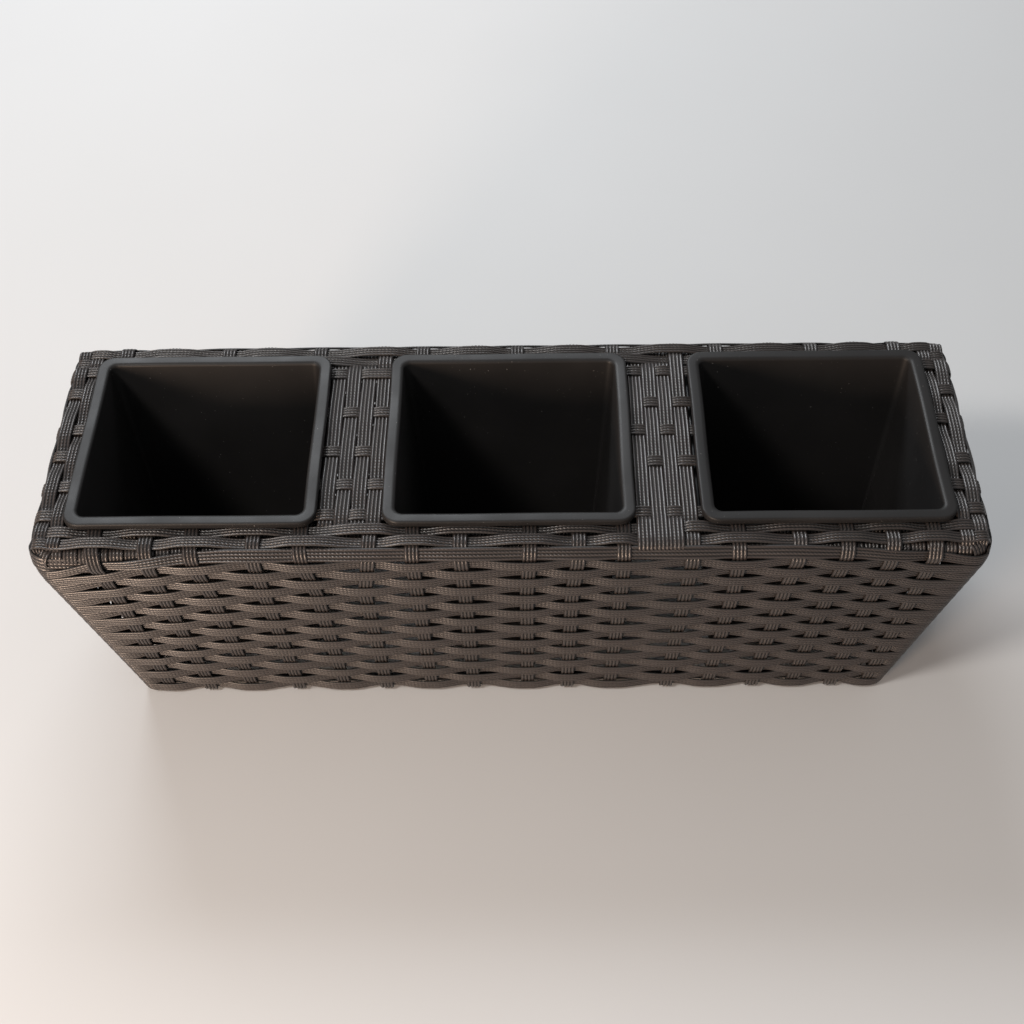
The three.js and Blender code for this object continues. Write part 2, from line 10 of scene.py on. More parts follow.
import bmesh
import bpy
import numpy as np
from mathutils import Matrix, Vector

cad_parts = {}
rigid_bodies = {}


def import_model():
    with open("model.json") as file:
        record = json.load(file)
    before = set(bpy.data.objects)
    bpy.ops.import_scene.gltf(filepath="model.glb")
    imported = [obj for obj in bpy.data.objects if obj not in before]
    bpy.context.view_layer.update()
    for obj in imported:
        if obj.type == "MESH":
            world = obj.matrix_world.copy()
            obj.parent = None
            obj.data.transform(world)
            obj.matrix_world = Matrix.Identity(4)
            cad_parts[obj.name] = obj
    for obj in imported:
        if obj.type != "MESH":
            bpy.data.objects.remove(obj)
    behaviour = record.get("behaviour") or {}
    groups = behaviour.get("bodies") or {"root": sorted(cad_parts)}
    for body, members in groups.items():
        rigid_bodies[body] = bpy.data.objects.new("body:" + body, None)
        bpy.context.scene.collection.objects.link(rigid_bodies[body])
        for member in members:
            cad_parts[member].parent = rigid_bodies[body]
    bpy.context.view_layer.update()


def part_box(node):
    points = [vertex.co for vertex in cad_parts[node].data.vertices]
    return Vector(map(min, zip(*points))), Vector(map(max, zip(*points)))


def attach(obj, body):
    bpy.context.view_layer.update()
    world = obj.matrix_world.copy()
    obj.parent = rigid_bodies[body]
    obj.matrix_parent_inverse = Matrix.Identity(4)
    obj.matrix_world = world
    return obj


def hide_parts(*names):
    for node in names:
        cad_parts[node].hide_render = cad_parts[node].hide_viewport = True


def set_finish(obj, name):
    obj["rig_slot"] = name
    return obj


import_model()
MM = 0.001

# %% [markdown]
# ## Camera
# The picture was taken from above the front, a little to the right of the middle. A camera's
# own axes are the columns of its matrix: right, up and backwards. Tilting and turning three
# unit vectors gives them without guessing at Euler angles.

# %% Camera
PITCH, YAW, ROLL = math.radians(49.7336), math.radians(1.106), math.radians(1.3439)
SENSOR_WIDTH = 36
FOCAL_PIXELS, PICTURE_PIXELS = 1543.0, 1024
CAMERA_PLACE = (0.014248, -0.688384, 0.916618)


def new_object(name, data):
    piece = bpy.data.objects.new(name, data)
    bpy.context.scene.collection.objects.link(piece)
    return piece


camera = new_object("camera", bpy.data.cameras.new("camera"))
camera.data.sensor_width = SENSOR_WIDTH
camera.data.lens = FOCAL_PIXELS * SENSOR_WIDTH / PICTURE_PIXELS
turn = Matrix.Rotation(YAW, 3, "Z")
ahead = turn @ Vector((0, math.cos(PITCH), -math.sin(PITCH)))
level = turn @ Vector((1, 0, 0))
down = turn @ Vector((0, -math.sin(PITCH), -math.cos(PITCH)))
right = math.cos(ROLL) * level + math.sin(ROLL) * down
down = math.cos(ROLL) * down - math.sin(ROLL) * level
camera.matrix_world = Matrix((right, -down, -ahead)).transposed().to_4x4()
camera.location = CAMERA_PLACE
bpy.context.scene.camera = camera
print("lens", round(camera.data.lens, 2), "mm")

# %% [markdown]
# ## The walls as rules
# The box tapers: a wall leans in below its top edge. Row 1 lies tilted over that edge, and the
# rows 0 and -1 lie flat on top. Edge n is the line under row n. Each wall has its own frame, in
# which X runs along it and it faces -Y, so one rule serves four walls. The functions below
# give the level of an edge, how far out it is, and how round the corner is there.

# %% Sizes of the walls
TOP_LEVEL = 175.97 * MM
WALL_TOP = 168.92 * MM
SECOND_EDGE = 159.52 * MM
GROUND_GAP = 3.2 * MM
TOP_ROW_WIDTH = 9.25 * MM
LAST_ROW = 18
CORNER_RADIUS = 12 * MM
CORNER_TAPER = 4 * MM


def edge_level(edge):
    levels = [TOP_LEVEL, WALL_TOP, SECOND_EDGE, GROUND_GAP]
    return np.interp(edge, [0, 1, 2, LAST_ROW], levels)


def depth_at(level):
    """0 at the top of the leaning wall and 1 at its foot."""
    return np.maximum((WALL_TOP - level) / (WALL_TOP - GROUND_GAP), 0)


def edge_out(wall, edge):
    edge = np.asarray(edge, float)
    top = wall["half"] - wall["edge"] + TOP_ROW_WIDTH * edge
    slope = wall["half"] - wall["edge"] * (1 - edge)
    leaning = wall["half"] - wall["lean"] * depth_at(edge_level(edge))
    return np.where(edge <= 0, top, np.where(edge <= 1, slope, leaning))


def corner_radius(level):
    return CORNER_RADIUS - CORNER_TAPER * depth_at(level)


print("rows", LAST_ROW, "height", round(float(edge_level(0) - edge_level(LAST_ROW)), 4))

# %% [markdown]
# ## Where the stakes stand
# The stakes are the upright strands that the rows pass over and under. They are set by hand, so
# they aren't quite evenly spaced. `top` is where each one crosses the top edge and `foot` the
# line that it follows down the wall, before the wall's taper draws them together.

# %% Stakes of each wall
FRONT_TOP = [-258.8, -226.0, -197.9, -158.9, -129.8, -86.6, -60.0, -30.0, 13.3,
             43.8, 71.6, 114.4, 142.7, 180.4, 209.9, 237.9, 263.8]
FRONT_FOOT = [-255.4, -225.6, -194.1, -159.4, -125.2, -93.8, -60.0, -28.9, 11.2,
              40.5, 72.3, 114.2, 145.0, 177.9, 207.2, 236.2, 262.7]
RIGHT_TOP = [-61.1, -41.3, -18.6, 16.6, 43.0, 67.0]
BACK_TOP = [-264.0, -237.9, -207.3, -179.7, -142.0, -112.6, -71.0, -43.4, -5.5,
            22.2, 59.5, 87.0, 130.0, 166.1, 193.3, 233.5, 264.0]
LEFT_TOP = [-67.0, -46.5, -13.0, 10.5, 36.9, 61.2]
RIGHT_FOOT = [-61.0, -38.0, -14.0, 13.0, 38.5, 62.0]
LEFT_FOOT = [-62.0, -40.0, -12.5, 11.5, 36.7, 61.0]
SETTLE_DEPTH = 45 * MM

# A wall's sizes. half is how far out its top edge is, lean how much further in its foot stands,
# and edge how far row 1 laps in over the top. fan is the share by which its stakes draw together.
# rod and rail are how far out its bars lie, and wound is half the length of strand on its rod.
# Row 1 sinks by dips rows within sink of a corner. A row has span stations from stake to stake.
SIDE = {"half": 95 * MM, "lean": 19 * MM, "edge": 6.2 * MM, "fan": 0.055, "rod": 73.1 * MM,
        "wound": 281 * MM, "rail": 84.5 * MM, "sink": 125 * MM, "span": 10, "swell": 1}
END = {"half": 300 * MM, "lean": 40 * MM, "edge": 2.5 * MM, "fan": 0.15, "rod": 278.3 * MM,
       "wound": 69.5 * MM, "rail": 290.2 * MM, "sink": 62 * MM, "span": 8, "swell": 1}
WALLS = [
    dict(SIDE, name="front", top=FRONT_TOP, foot=FRONT_FOOT, next=END, dips=(1.9, 1.0)),
    dict(END, name="right", top=RIGHT_TOP, foot=RIGHT_FOOT, next=SIDE, dips=(1.0, 1.0)),
    dict(SIDE, name="back", top=BACK_TOP, foot=BACK_TOP, next=END, dips=(1.0, 1.0), swell=0.78),
    dict(END, name="left", top=LEFT_TOP, foot=LEFT_FOOT, next=SIDE, dips=(1.0, 1.9)),
]
first = 0
for quarter, wall in enumerate(WALLS):
    wall["turn"] = quarter * math.pi / 2
    wall["first"] = first
    first += len(wall["top"])


def stake_at(wall, number, level):
    """How far along the wall a stake stands at a level."""
    fan = 1 - wall["fan"] * (TOP_LEVEL - level) / (TOP_LEVEL - GROUND_GAP)
    blend = np.clip((TOP_LEVEL - level) / SETTLE_DEPTH, 0, 1)
    top, foot = wall["top"][number] * MM, wall["foot"][number] * MM
    return (top + (foot - top) * blend) * fan


def side(row, crossing):
    """1 where a row passes outside a crossing, and -1 where it passes inside."""
    return 1 if (row + crossing) % 2 == 0 else -1


def turned(points, wall):
    """Points in a wall's frame, turned to the wall's place on the box."""
    c, s = round(math.cos(wall["turn"])), round(math.sin(wall["turn"]))
    return points @ np.array([[c, s, 0], [-s, c, 0], [0, 0, 1]], float)


print("stakes", [len(wall["top"]) for wall in WALLS])

# %% [markdown]
# ## The strand
# The strand is four round cords extruded side by side, flatter on the inside. Its section is
# a closed line of points. A length of strand is a flat blank from `create_grid`, one column for
# each point of the section and one line for each station of the route. Every vertex of the
# blank is then carried to its place, the seam is merged, and open ends are filled. The grid
# makes all the faces, so only the route has to be worked out. UV keeps the metres along the
# strand and the place across it, for the twist in the material.

# %% Section of the strand
STRAND_WIDTH = 9.2 * MM
STRAND_THICKNESS = 1.35 * MM
CORDS = 4
CREST = 0.72 * MM
GROOVE = 0.75 * MM
CROWN = 0.25 * MM
# Places across a cord's face, with how high it is there: 1 at its crest and 0 in the groove
CORD_FACE = ((0.1, 0.45), (0.27, 0.84), (0.5, 1), (0.73, 0.84), (0.9, 0.45))
BACK_CORNER, BACK_DEPTH, BACK_GROOVE = 0.22, 0.94, 0.45


def strand_section():
    """Points round the strand as (across from -0.5 to 0.5, height), the first one repeated."""
    back = STRAND_THICKNESS / 2
    points = [(-0.5, 0.0)]
    for cord in range(CORDS):
        for across, share in CORD_FACE:
            points.append(((cord + across) / CORDS - 0.5, CREST - GROOVE * (1 - share)))
        points.append(((cord + 1) / CORDS - 0.5, CREST - GROOVE if cord < CORDS - 1 else 0.0))
    for cord in reversed(range(CORDS)):
        for across in (1 - BACK_CORNER, BACK_CORNER):
            points.append(((cord + across) / CORDS - 0.5, -BACK_DEPTH * back))
        points.append((cord / CORDS - 0.5, -BACK_GROOVE * back if cord else 0.0))
    points = np.array(points)
    facing = np.arange(len(points)) <= (len(CORD_FACE) + 1) * CORDS
    points[:, 1] += np.where(facing, CROWN * (1 - (2 * points[:, 0]) ** 2), 0)
    return points


SECTION = strand_section()
print("points round the strand", len(SECTION) - 1)

# %% A length of strand from its route
TWIST_SHIFT = 0.137
WELD = 1e-6


def unit(vectors):
    return vectors / np.linalg.norm(vectors, axis=-1, keepdims=True)


def strand_rings(centre, across, out, width=STRAND_WIDTH, thick=1.0):
    """Rings of points: centre, across and out are one row per station of the route."""
    width = np.broadcast_to(width, len(centre))[:, None, None]
    across = np.broadcast_to(across, centre.shape)
    flat = SECTION[None, :, 0, None] * width * across[:, None, :]
    proud = SECTION[None, :, 1, None] * thick * out[:, None, :]
    return centre[:, None, :] + flat + proud


def length_along(points):
    steps = np.linalg.norm(np.diff(points, axis=0), axis=1)
    return np.concatenate([[0], np.cumsum(steps)])


def woven_piece(name, lengths):
    """One mesh object from lengths of strand, each a tuple (rings, looped)."""
    blank = bmesh.new()
    places, sheet = [], []
    for number, (rings, looped) in enumerate(lengths):
        if looped:
            rings = np.concatenate([rings, rings[:1]])
        stations, around = rings.shape[:2]
        bmesh.ops.create_grid(blank, x_segments=around - 1, y_segments=stations - 1, size=1)
        places.append(rings.reshape(-1, 3))
        run = length_along(rings.mean(axis=1)) + number * TWIST_SHIFT
        across = np.broadcast_to(SECTION[:around, 0] + 0.5, (stations, around))
        sheet.append(np.stack([np.repeat(run[:, None], around, 1), across], -1).reshape(-1, 2))
    mesh = bpy.data.meshes.new(name)
    blank.to_mesh(mesh)
    blank.free()
    mesh.vertices.foreach_set("co", np.concatenate(places).astype(np.float32).ravel())
    layer = mesh.uv_layers.new(name="strand")
    corner = np.zeros(len(mesh.loops), np.int32)
    mesh.loops.foreach_get("vertex_index", corner)
    layer.data.foreach_set("uv", np.concatenate(sheet)[corner].astype(np.float32).ravel())
    work = bmesh.new()
    work.from_mesh(mesh)
    bmesh.ops.remove_doubles(work, verts=work.verts, dist=WELD)
    open_edges = [edge for edge in work.edges if edge.is_boundary]
    if open_edges:
        bmesh.ops.holes_fill(work, edges=open_edges, sides=0)
    bmesh.ops.recalc_face_normals(work, faces=work.faces)
    for face in work.faces:
        face.smooth = len(face.verts) == 4
    work.to_mesh(mesh)
    work.free()
    return new_object(name, mesh)


def place(piece, body, slot, *nodes):
    """The piece rides on its body, takes its finish from a slot, and stands for CAD nodes."""
    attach(piece, body)
    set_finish(piece, slot)
    if nodes:
        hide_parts(*nodes)
    return piece


print("width of a strand", STRAND_WIDTH)

# %% [markdown]
# ## Rows of the wall
# A row runs right round the box as one closed loop. Between two crossings it swings from one
# side of the weave to the other. A cosine gives that swing, held level for a moment over each
# stake, and small seeded differences from crossing to crossing keep it from looking machined.

# %% The swing between crossings
rng = np.random.default_rng(7)
ROW_OFFSET = 1.6 * MM
CORNER_OFFSET = 0.9 * MM
STAKE_GIVE = 0.6 * MM
WAVER = 0.38 * MM
SLOW_WAVE, QUICK_WAVE = 21, 67
DIP_CURVE = 1.4
CALM_LENGTH = 25 * MM
CORNER_STATIONS = 5
LATE_START = 0.35
UNEVENNESS = 0.12


def uneven(least):
    """A share of the full swing, because no two crossings are pressed quite alike."""
    return least + UNEVENNESS * rng.random()


def swing(share, hold=0.1):
    """0 to 1 as share goes from 0 to 1, level at both ends."""
    share = np.clip((share - hold) / (1 - 2 * hold), 0, 1)
    return (1 - np.cos(np.pi * share)) / 2


def waver(wall, edge, at):
    """How far an edge between two rows strays up or down at a place along the wall."""
    seed = wall["first"] * 1.7
    free = np.clip((edge - 1.5) / 4, 0, 1)
    slow = np.sin(at * SLOW_WAVE + edge * 0.9 + seed)
    quick = 0.6 * np.sin(at * QUICK_WAVE + edge * 1.7 + 2 * seed)
    return free * (slow + quick) * WAVER


def dip_at(wall, at):
    """How many rows lower row 1 lies than at mid wall: it sinks towards the corners."""
    rows_down = np.where(np.asarray(at) < 0, wall["dips"][0], wall["dips"][1])
    near = np.clip(1 - (wall["next"]["half"] - np.abs(at)) / wall["sink"], 0, 1)
    return rows_down * near**DIP_CURVE


def row_edge(wall, edge, dip=1.0):
    """Places along one edge of a row, from the middle of one corner to the middle of the next."""
    rise = edge_level(edge)
    radius = corner_radius(rise)
    ahead, out = edge_out(wall["next"], edge) - radius, edge_out(wall, edge) - radius
    stops = [-ahead] + [stake_at(wall, i, rise) for i in range(len(wall["top"]))] + [ahead]
    counts = [CORNER_STATIONS] + [wall["span"]] * (len(stops) - 3) + [CORNER_STATIONS]
    stretches = zip(stops[:-1], stops[1:], counts)
    straight = np.concatenate([np.linspace(a, b, n, endpoint=False) for a, b, n in stretches])
    bend = np.radians(np.linspace(45, 0, CORNER_STATIONS, endpoint=False))
    aside, beyond = radius * np.sin(bend), radius * np.cos(bend)
    xs = np.concatenate([-ahead - aside, straight, [ahead], ahead + aside[::-1]])
    ys = out + np.concatenate([beyond, np.full(len(straight) + 1, radius), beyond[::-1]])
    fade = np.clip((ahead - np.abs(xs)) / CALM_LENGTH, 0, 1)
    low = edge + dip * dip_at(wall, xs) * (1 - edge / LAST_ROW)
    ys = ys + edge_out(wall, low) - edge_out(wall, edge)
    grown = (edge_out(wall["next"], low) - edge_out(wall["next"], edge)) * np.sign(xs)
    xs = xs + grown * np.clip((np.abs(xs) - ahead) / radius, 0, 1)
    return np.stack([xs, -ys, edge_level(low) + waver(wall, edge, xs) * fade], -1)


def row_swing(wall, row):
    """How far a row stands off the middle of the weave, at the same places as row_edge."""
    level = edge_level(row - 0.5)
    radius = corner_radius(level)
    ahead = edge_out(wall["next"], row - 0.5) - radius
    signs = [side(row, wall["first"] + i) for i in range(len(wall["top"]))]
    peaks = [ROW_OFFSET * wall["swell"] * sign * uneven(0.93) for sign in signs]
    ends = []
    for number in (0, -1):
        gap = ahead - abs(stake_at(wall, number, level))
        steps = np.repeat([radius * math.pi / 4, gap], CORNER_STATIONS) / CORNER_STATIONS
        share = np.concatenate([[0], np.cumsum(steps)]) / steps.sum()
        late = np.clip((share - LATE_START) / (1 - LATE_START), 0, 1)
        ends.append(CORNER_OFFSET + (peaks[number] - CORNER_OFFSET) * swing(late, hold=0.04))
    ways = swing(np.arange(wall["span"]) / wall["span"])
    spans = [a + (b - a) * ways for a, b in zip(peaks[:-1], peaks[1:])]
    return np.concatenate([ends[0][:-1]] + spans + [ends[1][::-1]])


print("places along the front", len(row_edge(WALLS[0], 0)))

# %% The eighteen rows
HALF_GAPS = {-2: 0.2 * MM, -1: 0.25 * MM, 0: 0.4 * MM, 1: 0.2 * MM}
WALL_HALF_GAP = 0.06 * MM
END_PROUD = 0.9 * MM
END_DEPTH = 3.4 * MM
END_DROP, START_DROP = 4.5 * MM, 3 * MM


def half_gap(edge):
    return HALF_GAPS.get(edge, WALL_HALF_GAP)


def looped_normals(centre, across):
    along = unit(np.roll(centre, -1, 0) - np.roll(centre, 1, 0))
    return unit(np.cross(along, across))


def corner_end():
    """The end of row 1's strand: it comes round the front left corner and tucks in there."""
    left, front = WALLS[3], WALLS[0]
    before, after = 14, 13
    edges = []
    for edge in (0.45, 1.75):
        back = turned(row_edge(left, edge, 0.0), left)[-before:]
        edges.append(np.concatenate([back, turned(row_edge(front, edge, 0.0), front)[:after]]))
    share = np.linspace(0, 1, len(edges[0]))
    tuck = np.clip((share - 0.55) / 0.45, 0, 1) ** 1.3
    start = np.clip(1 - share / 0.35, 0, 1)
    across = unit(edges[0] - edges[1])
    sink = across * (END_DROP * tuck + START_DROP * start)[:, None]
    upper, lower = edges[0] - sink, edges[1] - sink
    centre = (upper + lower) / 2
    out = unit(np.cross(np.gradient(centre, axis=0), across))
    proud = END_PROUD - END_DEPTH * (tuck + start)
    width = np.linalg.norm(upper - lower, axis=1)
    return strand_rings(centre + out * proud[:, None], across, out, width)


def round_box(edge):
    """Places along one edge of a row, right round the box."""
    return np.concatenate([turned(row_edge(wall, edge), wall) for wall in WALLS])


# The share of a row's swing that its upper and its lower edge take, where that isn't all of it
EDGE_HOLD = {1: (0.12, 0.5), 2: (0.85, 1.0)}
rows = []
for row in range(1, LAST_ROW + 1):
    upper, lower = round_box(row - 1), round_box(row)
    offset = np.concatenate([row_swing(wall, row) for wall in WALLS])
    across = unit(upper - lower)
    upper, lower = upper - across * half_gap(row - 1), lower + across * half_gap(row)
    centre = (upper + lower) / 2
    out = looped_normals(centre, across)
    dips = [np.clip(dip_at(wall, row_edge(wall, row)[:, 0]), 0, 1) for wall in WALLS]
    above, below = EDGE_HOLD.get(row, (1.0, 1.0))
    above, below = (held + (1 - held) * np.concatenate(dips) for held in (above, below))
    upper = upper + out * (offset * above)[:, None]
    lower = lower + out * (offset * below)[:, None]
    centre, across = (upper + lower) / 2, unit(upper - lower)
    out = looped_normals(centre, across)
    width = np.linalg.norm(upper - lower, axis=1)
    lengths = [(strand_rings(centre, across, out, width), True)]
    if row == 1:
        lengths.append((corner_end(), False))
    piece = woven_piece(f"row_{row:02d}", lengths)
    rows.append(place(piece, "planter", "strand", f"weft_row_{row:02d}"))
print("rows", len(rows), "faces each", len(rows[0].data.polygons))

# %% [markdown]
# ## Strands on top of the box
# Two strands lie flat on each wall's top, over and under its stakes, and cross the next wall's
# two strands at each corner. They are straight, so their route is a list of stops with a
# height at each. The box's rounded outline trims the outer one's edge near its ends.

# %% Top strands
RIGHT, AWAY, UP = np.eye(3)
LAP = 0.78 * MM
TOP_SWING = 1.5 * MM
TUCK_START = 4.2 * MM
# How far out and how far down the tucked ends of a top strand go
TUCK_OVER, TUCK_UNDER = (4.6 * MM, 8.8 * MM), (3.0 * MM, 6.0 * MM)
TOP_STEP = 3 * MM
OUTLINE_RADIUS = 5 * MM
OUTLINE_SPARE = 0.5 * MM
NARROWEST = 6 * MM
# Where the front's strands dive under the three that come over the front from a divider
DIVE_PLACES, DIVE = (80.5 * MM, 93.5 * MM, 106 * MM), -0.9 * MM


def stops_to_route(stops, step, hold):
    """Places and heights along a straight strand from (place, height) stops."""
    places, heights = [], []
    for (a, low), (b, high) in zip(stops[:-1], stops[1:]):
        count = max(2, int(round((b - a) / step)))
        share = np.arange(count) / count
        places.append(a + (b - a) * share)
        heights.append(low + (high - low) * swing(share, hold))
    places.append([stops[-1][0]])
    heights.append([stops[-1][1]])
    return np.concatenate(places), np.concatenate(heights)


def top_stops(wall, row):
    """Stops of a top strand, from one corner's outline to the other's."""
    follow = wall["next"]
    first, count = wall["first"], len(wall["top"])
    reach = edge_out(follow, 0) - TUCK_START
    outer, inner = edge_out(follow, -0.5), edge_out(follow, -1.5)
    stops = [(-reach, LAP * side(row, first - 2)), (-outer, LAP * side(row, first - 2)),
             (-inner, LAP * side(row, first - 1))]
    for number in range(count):
        sign = side(row, first + number)
        stops.append((wall["top"][number] * MM, TOP_SWING * sign * uneven(0.92)))
    stops += [(inner, LAP * side(row, first + count)), (outer, LAP * side(row, first + count + 1)),
              (reach, LAP * side(row, first + count + 1))]
    return [(float(a), float(b)) for a, b in stops]


def tucked(at, height, over):
    """Adds both ends of a top strand, bent down over the winding of the rail or into it."""
    angle = np.radians(np.arange(14, 85, 14))
    aside, drop = TUCK_OVER if over else TUCK_UNDER
    out, fall = aside * np.sin(angle), drop * (1 - np.cos(angle))
    first = (at[0] - out[::-1], height[0] - fall[::-1])
    last = (at[-1] + out, height[-1] - fall)
    return np.concatenate([first[0], at, last[0]]), np.concatenate([first[1], height, last[1]])


def top_strand(wall, row, stops):
    at, height = stops_to_route(stops, TOP_STEP, hold=0.16)
    at, height = tucked(at, height, height[0] > 0)
    radius = OUTLINE_RADIUS
    follow = edge_out(wall["next"], 0) + OUTLINE_SPARE
    along_arc = np.clip(np.abs(at) - (follow - radius), 0, radius)
    outline = edge_out(wall, 0) - radius + np.sqrt(radius**2 - along_arc**2)
    low = np.minimum(edge_out(wall, row) - half_gap(row), outline - half_gap(0))
    high = edge_out(wall, row - 1) + half_gap(row - 1)
    low = np.maximum(low, high + NARROWEST)
    middle = np.stack([at, -(low + high) / 2, TOP_LEVEL + height], -1)
    out = unit(np.cross(np.gradient(middle, axis=0), AWAY))
    return turned(strand_rings(middle, AWAY, out, low - high), wall)


for wall in WALLS:
    for row, label in ((0, "outer"), (-1, "inner")):
        stops = top_stops(wall, row)
        if wall["name"] == "front":
            stops = sorted(stops + [(at, DIVE) for at in DIVE_PLACES])
        piece = woven_piece(f"top_{wall['name']}_{label}", [(top_strand(wall, row, stops), False)])
        place(piece, "planter", "strand", f"top_strand_{wall['name']}_{label}")
print("top strands", 2 * len(WALLS))

# %% [markdown]
# ## Stakes
# A stake hooks over the inner rod, runs flat over the top edge, bends over row 1's slope and
# goes straight down the wall. The bends are rounded, and the stake gives a little away from
# each row that presses on it. Its hook holds it to strand wound round the rod: a helix, made
# from the same blank.

# %% Route of a stake
HOOK_GAP = 2.9 * MM
HOOK_LENGTH = 9 * MM
FOOT_LEVEL = 4.2 * MM
HOOK_BEND, EDGE_BEND, WALL_BEND = 1.6 * MM, 3 * MM, 4 * MM
ROUTE_STEP = 2.2 * MM
FLAT_TOP = 0.3 * MM
FREE_AT_HOOK = 1.2 * MM
DIP_PUSH = 0.9 * MM


def rounded(points, radii, step):
    """Evenly spaced places along a line through points, its corners rounded."""
    line = [points[0]]
    for before, here, after, radius in zip(points[:-2], points[1:-1], points[2:], radii):
        back, on = unit(before - here), unit(after - here)
        for share in np.linspace(0, 1, 7):
            a, b = here + back * radius * (1 - share), here + on * radius * share
            line.append(a + (b - a) * share)
    line.append(points[-1])
    line = np.array(line)
    run = length_along(line)
    at = np.linspace(0, run[-1], int(run[-1] / step) + 1)
    return np.stack([np.interp(at, run, line[:, k]) for k in range(line.shape[1])], -1)


def stake_line(wall, hook, start):
    """How far out and how high a stake lies, from its hook or its flat start to its foot."""
    points = [(edge_out(wall, 0), TOP_LEVEL), (edge_out(wall, 1), WALL_TOP),
              (wall["half"] - wall["lean"] * depth_at(FOOT_LEVEL), FOOT_LEVEL)]
    radii = [EDGE_BEND, WALL_BEND]
    if start is None:
        points = [(hook, TOP_LEVEL - HOOK_LENGTH), (hook, TOP_LEVEL)] + points
        radii = [HOOK_BEND] + radii
    else:
        points = [(start, TOP_LEVEL)] + points
    return rounded(np.array(points, float), radii, ROUTE_STEP)


def stake_route(wall, number, start=None):
    """Rings of a stake. It starts flat at `start` from the middle where it isn't hooked."""
    hook = wall["rod"] - HOOK_GAP - STRAND_THICKNESS / 2
    line = stake_line(wall, hook, start)
    out, level = line[:, 0], line[:, 1]
    edges = np.arange(LAST_ROW + 1)
    on_top = (out - edge_out(wall, 0)) / TOP_ROW_WIDTH
    on_wall = np.interp(-level, -edge_level(edges), edges)
    dip = dip_at(wall, wall["top"][number] * MM)
    on_wall = np.maximum((on_wall - dip) / (1 - dip / LAST_ROW), 0)
    edge = np.where(level > TOP_LEVEL - FLAT_TOP, np.minimum(on_top, 0), on_wall)
    crossing = wall["first"] + number
    give = np.array([-STAKE_GIVE * side(row, crossing) for row in range(-2, LAST_ROW + 1)])
    below = np.clip(np.floor(edge + 0.5), -2, LAST_ROW - 1).astype(int)
    low, high = give[below + 2], give[below + 3]
    push = low + (high - low) * swing(edge + 0.5 - below, hold=0.15)
    push = np.where(out < hook + FREE_AT_HOOK, 0, push)
    middle, reach = (0.3, 0.8) if side(1, crossing) < 0 else (-0.1, 0.25)
    push = push + DIP_PUSH * np.clip(dip, 0, 1) * np.exp(-((edge - middle) / reach) ** 2)
    along = unit(np.gradient(line, axis=0))
    normal = np.stack([-along[:, 1], along[:, 0]], -1)
    line = line + normal * push[:, None]
    centre = np.stack([stake_at(wall, number, line[:, 1]), -line[:, 0], line[:, 1]], -1)
    facing = np.stack([np.zeros(len(line)), -normal[:, 0], normal[:, 1]], -1)
    return turned(strand_rings(centre, RIGHT, facing), wall)


print("stations of a stake", len(stake_route(WALLS[0], 0)))

# %% Strand wound round a bar
WINDING_PITCH = 9.6 * MM
WINDING_THICKNESS = 0.6
TURN_STATIONS = 16
BEND_OUTSIDE = 10.5 * MM
# The part of a turn after which the strand steps on to the next one, and how much of it that takes
STEP_START, STEP_SHARE = 0.45, 0.4


def winding(wall, half_length, radius, out, level, bend=0.0, swell=0.0):
    """Strand wound round a bar that lies along the wall, and half way round a bend at each end.

    A turn lies square to the bar where it shows and steps on to the next one behind it.
    """
    around = bend + BEND_OUTSIDE if bend else 0
    total = half_length + around * math.pi / 4
    turns = round(2 * total / WINDING_PITCH)
    pitch = 2 * total / turns
    angle = np.linspace(-math.pi, 2 * math.pi * turns - math.pi, turns * TURN_STATIONS + 1)
    whole, part = np.divmod(angle / (2 * math.pi) + 1e-9, 1)
    step = np.clip(whole + np.clip((part - STEP_START) / STEP_SHARE, 0, 1), 0, turns - 1)
    run = (step - (turns - 1) / 2) * pitch
    past = np.maximum(np.abs(run) - half_length, 0)
    lean = past / around if bend else past
    way = np.sign(run)
    proud = np.clip(dip_at(wall, way * np.minimum(np.abs(run), wall["next"]["half"])), 0, 1)
    proud = swell * swing(proud, hold=0) * (1 + 0.8 * np.sin(2 * lean))
    at = way * (np.minimum(np.abs(run), half_length) + (bend + proud) * np.sin(lean))
    face = np.stack([way * np.sin(lean), -np.cos(lean), np.zeros(len(run))], -1)
    middle = np.stack([at, bend - out - (bend + proud) * np.cos(lean), np.full(len(run), level)], -1)
    radial = face * np.cos(angle)[:, None] + UP * np.sin(angle)[:, None]
    centre = middle + radial * (radius + 0.25 * proud)[:, None]
    across = unit(np.cross(radial, unit(np.gradient(centre, axis=0))))
    return turned(strand_rings(centre, across, radial, pitch * 0.95, WINDING_THICKNESS), wall)


print("turns on the front's rod", round(2 * SIDE["wound"] / WINDING_PITCH))

# %% Stakes of the four walls
ROD_LEVEL = 169.19 * MM
ROD_TURN_RADIUS = 2.72 * MM
# The long walls' stakes that a divider keeps from their rod, and where these start instead
UNHOOKED, FLAT_START = (5, 11), {"front": 75.5 * MM, "back": 83.5 * MM}
stakes_made = 0
for wall in WALLS:
    lengths = []
    for number in range(len(wall["top"])):
        start = FLAT_START.get(wall["name"]) if number in UNHOOKED else None
        lengths.append((stake_route(wall, number, start), False))
        stakes_made += 1
    rings = winding(wall, wall["wound"], ROD_TURN_RADIUS, wall["rod"], ROD_LEVEL)
    lengths.append((rings, False))
    piece = woven_piece(f"stakes_{wall['name']}_strands", lengths)
    place(piece, "planter", "strand", f"stakes_{wall['name']}")
print("stakes", stakes_made)

# %% [markdown]
# ## Winding of the top rail
# The rail is hidden, but strand is wound round it and shows as small upright ribs in the gap
# between the outer top strand and row 1, near the corners.

